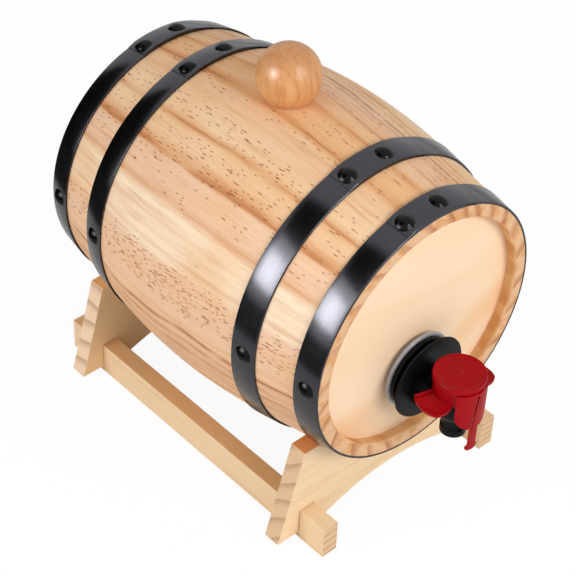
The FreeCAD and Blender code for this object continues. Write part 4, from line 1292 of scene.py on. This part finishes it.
@dataclass
class Cask(Assembly):
    """Staves, heads, hoops and rivets."""

    staves: int = 18
    half_length: float = 106.45
    shoulder_reach: float = 53.3
    shoulder_radius: float = 83.93
    end_radius: float = 74.8
    bilge_curve: float = 313.10
    wall: float = 8.0
    head_face: float = 99.55
    head_back: float = 91.55
    croze: float = 2.0
    seam: float = 0.12
    hoop_thickness: float = 1.2
    hoop_edge: float = 0.35
    chime_width: float = 14.55
    quarter_width: float = 14.6
    lap_start: float = -16.0
    lap_angle: float = 25.0
    lap_fall: float = 12.0
    lap_lead: float = 4.0
    lap_dip: float = 0.9
    lap_hold: float = 0.4
    lap_bite: float = 0.4
    skin: float = 0.02
    rivet_radius: float = 5.0
    rivet_height: float = 2.2
    rivet_sink: float = 0.4
    rivet_taper: float = 0.2
    lap_rivets: tuple[float, float] = (-12.0, 5.0)
    side_rivets: tuple[float, float] = (-88.0, 81.0)
    bung_place: float = 2.0
    bung_radius: float = 9.06

    @property
    def slope(self) -> float:
        """How much the straight part of the cask narrows for each millimetre."""
        return ((self.shoulder_radius - self.end_radius)
                / (self.half_length - self.shoulder_reach))

    def radius(self, reach: float) -> float:
        """Outside radius of the straight part at a distance from the middle."""
        return self.end_radius + (self.half_length - reach) * self.slope

    def build(self) -> None:
        """Makes the staves, hoops and rivets, and dresses the heads and the bag."""
        for number in range(self.staves):
            self.stave(number)
        for end in End:
            self.hoop(end, "chime", self.half_length - self.chime_width, self.half_length)
            self.hoop(end, "quarter", self.shoulder_reach,
                      self.shoulder_reach + self.quarter_width)
        self.dress(FRONT_WOOD, "front_head")
        self.dress(REAR_WOOD, "rear_head")
        self.dress(FILM, "liner_bag")

    def stave_outline(self) -> list[Point]:
        """Section of a stave, as radius and place along the cask.

        Returns:
            The outline's points.
        """
        half, reach, wall = self.half_length, self.shoulder_reach, self.wall
        outer = bow((-reach, self.shoulder_radius), (reach, self.shoulder_radius),
                    self.bilge_curve, 24)
        inner = bow((reach, self.shoulder_radius - wall),
                    (-reach, self.shoulder_radius - wall), -self.bilge_curve, 16)
        end = [(half, self.end_radius, 0.5), (half, self.end_radius - wall + 1, 0.3),
               (half - 1, self.radius(half - 1) - wall, 0.3),
               (self.head_face, self.radius(self.head_face) - wall),
               (self.head_face, self.radius(self.head_face) - wall + self.croze),
               (self.head_back, self.radius(self.head_face) - wall + self.croze),
               (self.head_back, self.radius(self.head_back) - wall)]
        return [(radius, along) for along, radius in
                eased([*outer, *end, *inner, *mirrored(end)], 2)]

    def stave(self, number: int) -> None:
        """Makes one stave; the first has the bung hole.

        Args:
            number: its place round the cask, from the bung.
        """
        width = 360 / self.staves
        mesh = bmesh.new()
        turned(mesh, self.stave_outline(), Axis.Y, CASK, start=(number - 0.5) * width,
               sweep=width, steps=8, ease=self.seam)
        node = "bung_stave" if number == 0 else f"stave_{number + 1:02d}"
        piece = as_object(f"{node}_wood", mesh)
        if number == 0:
            bored(piece, self.bung_radius,
                  CASK + Vector((0, self.bung_place, self.shoulder_radius)), 20, Axis.Z)
        self.hand_over(piece, "cask", "cask_wood", STAVE_WOOD, node)

    def hoop(self, end: End, kind: str, near: float, far: float) -> None:
        """Makes one hoop with its lap, and its rivets.

        Args:
            end: the end of the cask that it is at.
            kind: which hoop it is.
            near: its edge nearest to the cask's middle.
            far: its other edge.
        """
        side, edge, thickness = end.value, self.hoop_edge, self.hoop_thickness

        def band(inside: float, outside: float) -> list[Point]:
            """Section of a strip between two heights above the staves.

            Args:
                inside: height of its inner face.
                outside: height of its outer face.

            Returns:
                The outline's points.
            """
            return eased([(self.radius(reach) + height, reach * side, edge)
                          for reach, height in ((near, inside), (near, outside),
                                                (far, outside), (far, inside))], 2)

        mesh = bmesh.new()
        turned(mesh, band(self.skin, thickness), Axis.Y, CASK, steps=180)
        first, last = self.lap_start, self.lap_start + self.lap_angle
        turned(mesh, band(thickness - self.lap_bite, thickness * 2), Axis.Y, CASK,
               start=first, sweep=self.lap_angle + self.lap_fall, steps=36,
               sinks=((first, self.lap_dip), (first + self.lap_lead, 0.0),
                      (last - self.lap_hold, 0.0),
                      (last + self.lap_fall, thickness - self.skin)))
        name = f"{end.name.lower()}_{kind}"
        piece = as_object(f"{name}_hoop_steel", mesh, 50)
        self.hand_over(piece, "cask", "hoop_steel", STEEL, f"{name}_hoop")
        self.rivets(end, f"{name}_rivets", (near + far) / 2)

    def rivets(self, end: End, name: str, reach: float) -> None:
        """Makes a hoop's four rivets.

        Args:
            end: the end of the cask that they are at.
            name: their node.
            reach: distance from the cask's middle.
        """
        height, foot = self.rivet_height, self.rivet_radius
        ball = (foot ** 2 + height ** 2) / (2 * height)
        under = -self.rivet_sink
        dome = [*bow((0.0, height), (foot, 0.0), ball, 10),
                (foot - self.rivet_taper, under), (0.0, under)]
        outer = self.radius(reach) + self.hoop_thickness
        lap = outer + self.hoop_thickness
        mesh = bmesh.new()
        spots = [*((angle, lap) for angle in self.lap_rivets),
                 *((angle, outer) for angle in self.side_rivets)]
        for angle, base in spots:
            part = bmesh.new()
            turned(part, dome, Axis.Z, Vector((0, 0, 0)), steps=40)
            lean = math.atan(self.slope) * end.value
            place = (Matrix.Translation(CASK)
                     @ Matrix.Rotation(math.radians(angle), 4, "Y")
                     @ Matrix.Translation((0, reach * end.value, base))
                     @ Matrix.Rotation(-lean, 4, "X"))
            bmesh.ops.transform(part, matrix=place, verts=part.verts)
            join(mesh, part)
        piece = as_object(f"{name}_domes", mesh)
        self.hand_over(piece, "cask", "rivet_steel", RIVET, name)


@dataclass
class Bung(Assembly):
    """Ball knob with its foot ring and cork."""

    place: float = 20.985
    base: float = 210.2
    ball: float = 17.2
    middle: float = 222.5
    foot: float = 12.9
    foot_height: float = 1.6
    tenon_radius: float = 5.0
    tenon_length: float = 9.0

    def build(self) -> None:
        """Makes the knob and dresses the cork."""
        foot_top = self.base + self.foot_height
        throat = math.sqrt(self.ball ** 2 - (self.middle - foot_top) ** 2)
        outline = [
            (0.0, self.base - self.tenon_length),
            (self.tenon_radius, self.base - self.tenon_length, 0.5),
            (self.tenon_radius, self.base), (self.foot, self.base, 0.6),
            (self.foot, foot_top, 0.7),
            *bow((throat, foot_top), (0.0, self.middle + self.ball), -self.ball, 36)]
        piece = turned_object("bung_knob_turned", outline, Axis.Z,
                              Vector((0, self.place, 0)), steps=72)
        self.hand_over(piece, "bung", "knob_wood", KNOB_WOOD, "bung_knob")
        self.dress(CORK, "bung_cork")


@dataclass
class Gland(Assembly):
    """Ring that clamps the bag's neck to the front head."""

    bore: float = 17.6
    radius: float = 22.3
    depth: float = 4.8
    edge: float = 0.8
    lip: float = 1.8
    hub: float = 18.6

    def build(self) -> None:
        """Makes the ring and dresses the neck."""
        front, lip = -self.depth, self.lip - self.depth
        outline = [(self.bore, 0.0), (self.bore, front), (self.radius, front, self.edge),
                   (self.radius, lip, 0.5), (self.hub, lip, 0.4), (self.hub, 0.0)]
        piece = turned_object("gland_ring_moulded", outline, Axis.Y, INLET, easing=4)
        self.hand_over(piece, "cask", "gland_plastic", SILVER, "gland_ring")
        self.dress(SILVER, "gland_neck")


@dataclass
class PressTap(Assembly):
    """Tap body with its spigot, the winged collar and the button."""

    spigot: float = 15.84
    spigot_length: float = 12.9
    start: float = 27.45
    rear_radius: float = 20.8
    rear_thickness: float = 2.6
    space: float = 4.05
    waist: float = 17.0
    front_radius: float = 24.2
    front_flat: float = 19.2
    front_thickness: float = 1.2
    front_wall: float = 2.0
    inlet_bore: float = 13.0
    seal_depth: float = 1.6
    seal_half: float = 0.9
    arm_radius: float = 12.0
    arm_nose: float = 10.5
    arm_root: float = 1.0
    arm_drop: float = 6.2
    arm_flat: float = 2.9
    shoulder: Profile = ((11.0, 11.6), (11.0, 4.9), (12.6, 4.9, 0.3))
    skirt: tuple[Point, Point] = ((12.6, -4.2), (8.2, -9.2))
    skirt_curve: float = 9.0
    spout: Profile = (
        (6.4, -12.2, 0.6), (6.4, -17.7, 0.4), (7.1, -17.7, 0.3), (7.1, -22.2, 0.4),
        (5.4, -22.2, 0.3), (5.4, -9.2), (3.8, -9.2), (3.8, -7.2), (8.6, -7.2),
        (8.6, 11.6, 0.2))
    collar_radius: float = 13.05
    collar_foot: float = 4.9
    collar_outline: Profile = (
        (11.05, 4.9), (13.05, 4.9, 0.3), (13.05, 14.1, 0.3), (9.4, 14.1, 0.3), (9.4, 12.4),
        (11.05, 12.4))
    wing_bite: float = 0.85
    wing_angles: tuple[float, float] = (37.0, 33.0)
    wing_tip: Point = (19.75, 11.4)
    wing_corner: Point = (21.5, -5.8)
    wing_curves: tuple[float, float] = (17.4, 10.0)
    wing_thickness: float = 1.9
    wing_droops: tuple[float, float] = (7.0, 3.0)
    wing_border: float = 1.0
    wing_dish: float = 0.4
    rib_width: float = 1.5
    rib_rise: float = 1.2
    button_outline: Profile = (
        (0.0, 18.15), (0.5, 18.15, 0.2), (0.9, 18.5, 0.2), (1.3, 18.5, 0.2),
        (1.7, 18.0, 0.3), (11.6, 18.0, 0.8), (12.7, 18.4, 0.8), (14.1, 18.4, 0.8),
        (14.1, 14.4, 0.2), (13.35, 14.4, 0.2), (13.35, 17.2), (3.6, 17.2), (3.6, 16.3, 0.2),
        (2.2, 16.3), (2.2, 17.4), (0.0, 17.4))
    dome_outline: Profile = (
        (8.6, 11.6), (11.0, 11.6, 0.2), (11.0, 12.4, 0.2), (9.3, 12.4), (4.6, 16.2, 0.5),
        (2.3, 16.2, 0.1), (2.3, 15.5, 0.1), (3.9, 15.5, 0.4))
    dome_foot: float = 11.6
    dome_keep: float = 0.38

    def build(self) -> None:
        """Makes the body, the collar and the button, and dresses what is inside."""
        self.body()
        self.collar()
        self.button()
        self.dome()
        self.dress(RUBBER, "spigot_seal", "plug_seal")
        self.dress(STEM, "valve_stem")

    def body(self) -> None:
        """Makes the flanges, arm, barrel and spout."""
        rear_front = self.start - self.rear_thickness
        front_back = rear_front - self.space
        front = front_back - self.front_thickness
        end = self.start + self.spigot_length
        groove = self.start + self.spigot_length / 2
        seat = self.spigot - self.seal_depth
        flanges = [
            (0.0, front), (self.front_flat, front), (self.front_radius, front, 0.45),
            (self.front_radius, front_back, 0.35), (self.waist, front_back, 0.5),
            (self.waist, rear_front, 0.5), (self.rear_radius, rear_front, 0.7),
            (self.rear_radius, self.start, 0.3), (self.spigot, self.start),
            (self.spigot, groove - self.seal_half), (seat, groove - self.seal_half),
            (seat, groove + self.seal_half), (self.spigot, groove + self.seal_half),
            (self.spigot, end, 0.4), (self.inlet_bore, end, 0.4),
            (self.inlet_bore, front + self.front_wall), (0.0, front + self.front_wall)]
        mesh = bmesh.new()
        turned(mesh, eased(flanges), Axis.Y, VALVE)
        self.arm(mesh, front)
        barrel = [*self.shoulder, *bow(*self.skirt, self.skirt_curve, 8), *self.spout]
        turned(mesh, eased(barrel), Axis.Z, VALVE)
        piece = as_object("tap_body_moulded", mesh)
        self.hand_over(piece, "tap", "tap_black", BLACK, "tap_body")

    def arm(self, mesh: Mesh, front: float) -> None:
        """Adds the arm between the flange and the barrel, flat on top.

        Args:
            mesh: what it is added to.
            front: place of the flange's face.
        """
        centre = VALVE + Vector((0, 0, -self.arm_drop))
        part = bmesh.new()
        nose = bow((0.0, self.arm_nose - self.arm_radius),
                   (self.arm_radius, self.arm_nose), self.arm_radius, 12)
        back = front + self.arm_root
        outline = [(self.arm_radius, back), *reversed(nose), (0.0, back)]
        turned(part, outline, Axis.Y, centre, steps=64)
        bmesh.ops.remove_doubles(part, verts=part.verts, dist=0.001)
        cut = bmesh.ops.bisect_plane(
            part, geom=[*part.verts, *part.edges, *part.faces],
            plane_co=VALVE + Vector((0, 0, self.arm_flat)), plane_no=(0, 0, 1),
            clear_outer=True)
        edges = [item for item in cut["geom_cut"] if isinstance(item, bmesh.types.BMEdge)]
        bmesh.ops.holes_fill(part, edges=edges)
        join(mesh, part)

    def collar(self) -> None:
        """Makes the collar and its two wings."""
        mesh = bmesh.new()
        turned(mesh, eased(self.collar_outline), Axis.Z, VALVE)
        for side in (-1, 1):
            self.wing(mesh, side)
        piece = as_object("winged_collar_moulded", mesh, 40)
        soften(piece, 0.35, 2, 50)
        self.hand_over(piece, "tap", "tap_red", RED, "winged_collar")

    def wing(self, mesh: Mesh, side: int) -> None:
        """Adds one wing: a dished plate with a swept tip and a rib along its back.

        Args:
            mesh: what it is added to.
            side: -1 for left or 1 for right.
        """
        bite = self.collar_radius - self.wing_bite
        back, front = (math.radians(angle) for angle in self.wing_angles)
        root = (bite * math.cos(back), bite * math.sin(back))
        nose = (bite * math.cos(front), -bite * math.sin(front))
        tip, corner = self.wing_tip, self.wing_corner
        side_curve, front_curve = self.wing_curves
        droop = math.radians(self.wing_droops[side > 0])
        outline = eased([
            root, (*tip, 1.2), *bow(tip, corner, side_curve, 5)[1:-1], (*corner, 1.9),
            *bow(corner, nose, front_curve, 4)[1:-1], *bow(nose, root, -bite, 6)[:-1]], 7)
        rib = eased([root, (*tip, 1.0), (tip[0], tip[1] - self.rib_width, 0.5),
                     (root[0], root[1] - self.rib_width)], 3)
        lift = (self.collar_foot + self.wing_thickness / 2
                + self.collar_radius * math.tan(droop))
        lean = Matrix.Translation(VALVE) @ Matrix.Rotation(droop * side, 4, "Y")
        for shape, rise in ((outline, 0.0), (rib, self.rib_rise)):
            part = bmesh.new()
            prism(part, [(x * side, y) for x, y in shape], self.wing_thickness + rise,
                  lean @ Matrix.Translation((0, 0, lift + rise / 2)))
            if not rise:
                part.faces.ensure_lookup_table()
                bmesh.ops.recalc_face_normals(part, faces=part.faces)
                bmesh.ops.inset_region(part, faces=[part.faces[1]],
                                       thickness=self.wing_border, depth=-self.wing_dish)
            join(mesh, part)

    def button(self) -> None:
        """Makes the dished button."""
        piece = turned_object("press_button_moulded", self.button_outline, Axis.Z, VALVE)
        self.hand_over(piece, "button", "tap_red", RED, "press_button")

    def dome(self) -> None:
        """Makes the return dome and gives it its own mesh; in use it flattens on its foot.
        """
        piece = turned_object("return_dome_rubber", self.dome_outline, Axis.Z, VALVE)
        self.hand_over(piece, "tap", "seal_rubber", SILICONE, "return_dome")
        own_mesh(piece)


@dataclass
class TamperStrip(Assembly):
    """Curved strip before the collar, with a tear slot and a tail."""

    outer: float = 14.87
    thickness: float = 0.65
    half_width: float = 11.72
    top: float = 14.65
    shoulder: float = -0.5
    curve: float = 9.6
    tail_top: float = -9.4
    tail_foot: float = -25.0
    tail_sides: tuple[float, float] = (-4.35, 1.1)
    foot_height: float = 4.4
    foot_round: float = 2.9
    foot_flare: float = 1.4
    slot_top: float = 13.0
    slot_top_sides: tuple[float, float] = (-1.4, -0.45)
    slot_foot_sides: tuple[float, float] = (-3.8, -3.3)
    slice_width: float = 1.3
    bridge_angles: tuple[float, ...] = (-36.0, 0.0, 36.0)
    bridge_place: float = 9.6
    bridge_outline: Profile = ((-0.7, -14.55), (-0.7, -13.35), (0.7, -13.35), (0.7, -14.55))
    bridge_height: float = 1.6

    def build(self) -> None:
        """Makes the strip."""
        mesh = bmesh.new()
        loop = [mesh.verts.new((x, 0, z)) for x, z in self.outline()]
        mesh.faces.new(loop)
        steps = int(self.half_width / self.slice_width)
        for index in range(-steps, steps + 1):
            bmesh.ops.bisect_plane(
                mesh, geom=[*mesh.verts, *mesh.edges, *mesh.faces],
                plane_co=(index * self.slice_width, 0, 0), plane_no=(1, 0, 0))
        shell = bmesh.ops.extrude_face_region(mesh, geom=mesh.faces[:])
        lifted = {item for item in shell["geom"] if isinstance(item, bmesh.types.BMVert)}
        for vert in mesh.verts:
            angle = math.asin(max(-1.0, min(1.0, vert.co.x / self.outer)))
            radius = self.outer - (self.thickness if vert in lifted else 0)
            vert.co = VALVE + Vector((radius * math.sin(angle), -radius * math.cos(angle),
                                      vert.co.z))
        for angle in self.bridge_angles:
            place = (Matrix.Translation(VALVE + Vector((0, 0, self.bridge_place)))
                     @ Matrix.Rotation(math.radians(angle), 4, "Z"))
            prism(mesh, self.bridge_outline, self.bridge_height, place)
        piece = as_object("tamper_strip_moulded", ordered(mesh), 40)
        soften(piece, 0.2, 2, 50)
        self.hand_over(piece, "strip", "tap_red", RED, "tamper_strip")

    def outline(self) -> list[Point]:
        """Front view of the strip, from the valve's axis and the inlet's height.

        Returns:
            The outline's points.
        """
        left, right = self.tail_sides
        top_left, top_right = self.slot_top_sides
        low_left, low_right = self.slot_foot_sides
        wide, foot = self.half_width, self.tail_foot
        corner, flare = self.foot_round, self.foot_flare
        return [
            (-wide, self.top), (wide, self.top),
            *bow((wide, self.shoulder), (right, self.tail_top), self.curve + 2, 10),
            (right, foot + self.foot_height),
            *bow((right + flare, foot + corner), (right + flare - corner, foot), corner, 6),
            *bow((left - flare + corner, foot), (left - flare, foot + corner), corner, 6),
            (left, foot + self.foot_height), (left, self.tail_top - 1),
            (low_right, self.tail_top - 1), (top_right, self.slot_top),
            (top_left, self.slot_top), (low_left, self.tail_top),
            *bow((left, self.tail_top), (-wide, self.shoulder), self.curve, 10)]


@dataclass(frozen=True)
class Lamp:
    """Soft box that points at the cask; its sizes are metres and its power is watts."""

    name: str
    towards: Place
    distance: float
    size: tuple[float, float]
    power: float
    gloss_only: bool = False


LAMPS = (
    Lamp("left_box", (-0.85, 0.15, 0.45), 1.6, (1.0, 1.0), 8.6),
    Lamp("front_box", (0.05, -0.86, 0.5), 1.6, (0.9, 0.6), 11.4),
    Lamp("left_glint", (-0.90, 0.22, 0.40), 1.5, (0.9, 0.6), 11.0, True),
    Lamp("left_spark", (-0.90, 0.22, 0.40), 1.5, (0.26, 0.26), 8.0, True),
    Lamp("front_spark", (0.08, -0.68, 0.77), 1.5, (0.26, 0.26), 4.0, True))


@dataclass
class Studio:
    """Floor, light and camera."""

    camera_place: Place = (-507.47, -508.105, 717.61)
    camera_turn: float = -44.15761
    camera_height: float = 41.01472
    camera_roll: float = 2.68354
    lens: float = 108.81
    sensor: float = 36.0
    far: float = 20.0
    air: float = 0.5
    aim_height: float = 0.12
    floor_reach: float = 6000.0
    floor_light: float = 1.03
    floor_share: float = 0.9
    low_flag: Profile = (
        (360, 1.0), (2000, 1.0), (2000, 150), (2004, 150), (2004, 0.5), (360, 0.5))
    low_flag_start: float = 85.0
    low_flag_sweep: float = 115.0
    top_flag: Profile = ((-1680, -250), (-300, -250), (-300, 850), (-1680, 850))
    top_flag_place: Place = (0, 0, 1500)
    back_flag: Profile = ((-1500, 0), (-20, 0), (-20, 1600), (-1500, 1600))
    back_flag_place: Place = (0, 1500, 0)
    flag_thickness: float = 4.0

    def build(self) -> None:
        """Makes the camera, floor, world, lamps and flags."""
        self.camera()
        self.floor()
        self.world()
        for lamp in LAMPS:
            self.hang(lamp)
        self.flags()

    def camera(self) -> None:
        """Places the camera."""
        data = bpy.data.cameras.new("camera")
        data.lens = self.lens
        data.sensor_width = self.sensor
        data.clip_end = self.far
        camera = bpy.data.objects.new("camera", data)
        turn = (Matrix.Rotation(math.radians(self.camera_turn), 4, "Z")
                @ Matrix.Rotation(math.radians(90 - self.camera_height), 4, "X")
                @ Matrix.Rotation(math.radians(self.camera_roll), 4, "Z"))
        camera.matrix_world = Matrix.Translation(Vector(self.camera_place) * MM) @ turn
        bpy.context.scene.collection.objects.link(camera)
        bpy.context.scene.camera = camera
        bpy.context.scene.view_settings.view_transform = "Standard"

    def floor(self) -> None:
        """Lays a white floor that keeps a faint shadow."""
        mesh = bmesh.new()
        for x, y in ((-1, -1), (1, -1), (1, 1), (-1, 1)):
            mesh.verts.new((x * self.floor_reach, y * self.floor_reach, 0))
        mesh.faces.new(mesh.verts)
        piece = as_object("floor", mesh)
        graph = Graph.of_material("floor_white")
        lit = graph.surface(Base_Color=srgb(240, 240, 240), Roughness=0.9,
                            Specular_IOR_Level=0.1)
        shader = Signal(graph, graph.existing("ShaderNodeBsdfPrincipled").outputs[0])
        white = graph.node("ShaderNodeEmission", {},
                           {"Color": (1, 1, 1), "Strength": self.floor_light})
        seen = graph.node("ShaderNodeLightPath", {}, {}, "Is Camera Ray")
        both = graph.node("ShaderNodeMixShader", {},
                          {0: seen * self.floor_share, 1: shader, 2: white})
        graph.feed(graph.existing("ShaderNodeOutputMaterial").inputs["Surface"], both)
        piece.data.materials.append(lit)

    def world(self) -> None:
        """Fills the room with soft light, white where it is looked at."""
        world = bpy.data.worlds.new("studio")
        world.use_nodes = True
        bpy.context.scene.world = world
        graph = Graph(world.node_tree)
        looked_at = sum((graph.node("ShaderNodeLightPath", {}, {}, f"Is {kind} Ray")
                         for kind in ("Camera", "Glossy", "Transmission")), 0)
        background = graph.existing("ShaderNodeBackground")
        graph.feed(background.inputs["Color"], (1, 1, 1))
        graph.feed(background.inputs["Strength"],
                   graph.span(looked_at, 0.0, 1.0, self.air, 1.0))

    def hang(self, lamp: Lamp) -> None:
        """Hangs one soft box.

        Args:
            lamp: the lamp.
        """
        data = bpy.data.lights.new(lamp.name, "AREA")
        data.shape = "RECTANGLE"
        data.size, data.size_y = lamp.size
        data.energy = lamp.power
        piece = bpy.data.objects.new(lamp.name, data)
        aim = -Vector(lamp.towards).normalized()
        place = Matrix.Translation(Vector((0, 0, self.aim_height)) - aim * lamp.distance)
        piece.matrix_world = place @ aim.to_track_quat("-Z", "Y").to_matrix().to_4x4()
        piece.visible_diffuse = not lamp.gloss_only
        bpy.context.scene.collection.objects.link(piece)

    def flags(self) -> None:
        """Sets black cards that only gloss shows: one low, one above and one behind."""
        mesh = bmesh.new()
        turned(mesh, self.low_flag, Axis.Z, Vector((0, 0, 0)), start=self.low_flag_start,
               sweep=self.low_flag_sweep)
        ring = as_object("low_flag", mesh)
        mesh = bmesh.new()
        prism(mesh, self.top_flag, self.flag_thickness,
              Matrix.Translation(self.top_flag_place))
        prism(mesh, self.back_flag, self.flag_thickness,
              Matrix.Translation(self.back_flag_place)
              @ Matrix.Rotation(math.pi / 2, 4, "X"))
        card = as_object("high_flags", mesh)
        graph = Graph.of_material("flag_black")
        black = graph.surface(Base_Color=srgb(8, 8, 8), Roughness=0.9)
        for flag in (ring, card):
            flag.data.materials.append(black)
            for kind in ("camera", "diffuse", "transmission", "volume_scatter", "shadow"):
                setattr(flag, f"visible_{kind}", False)


def build_scene() -> None:
    """Builds every assembly and the studio."""
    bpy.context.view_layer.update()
    for assembly in (CradleStand(), Cask(), Bung(), Gland(), PressTap(), TamperStrip(),
                     Studio()):
        LOG.info("building %s", type(assembly).__name__)
        assembly.build()


if __name__ == "__main__":
    build_scene()
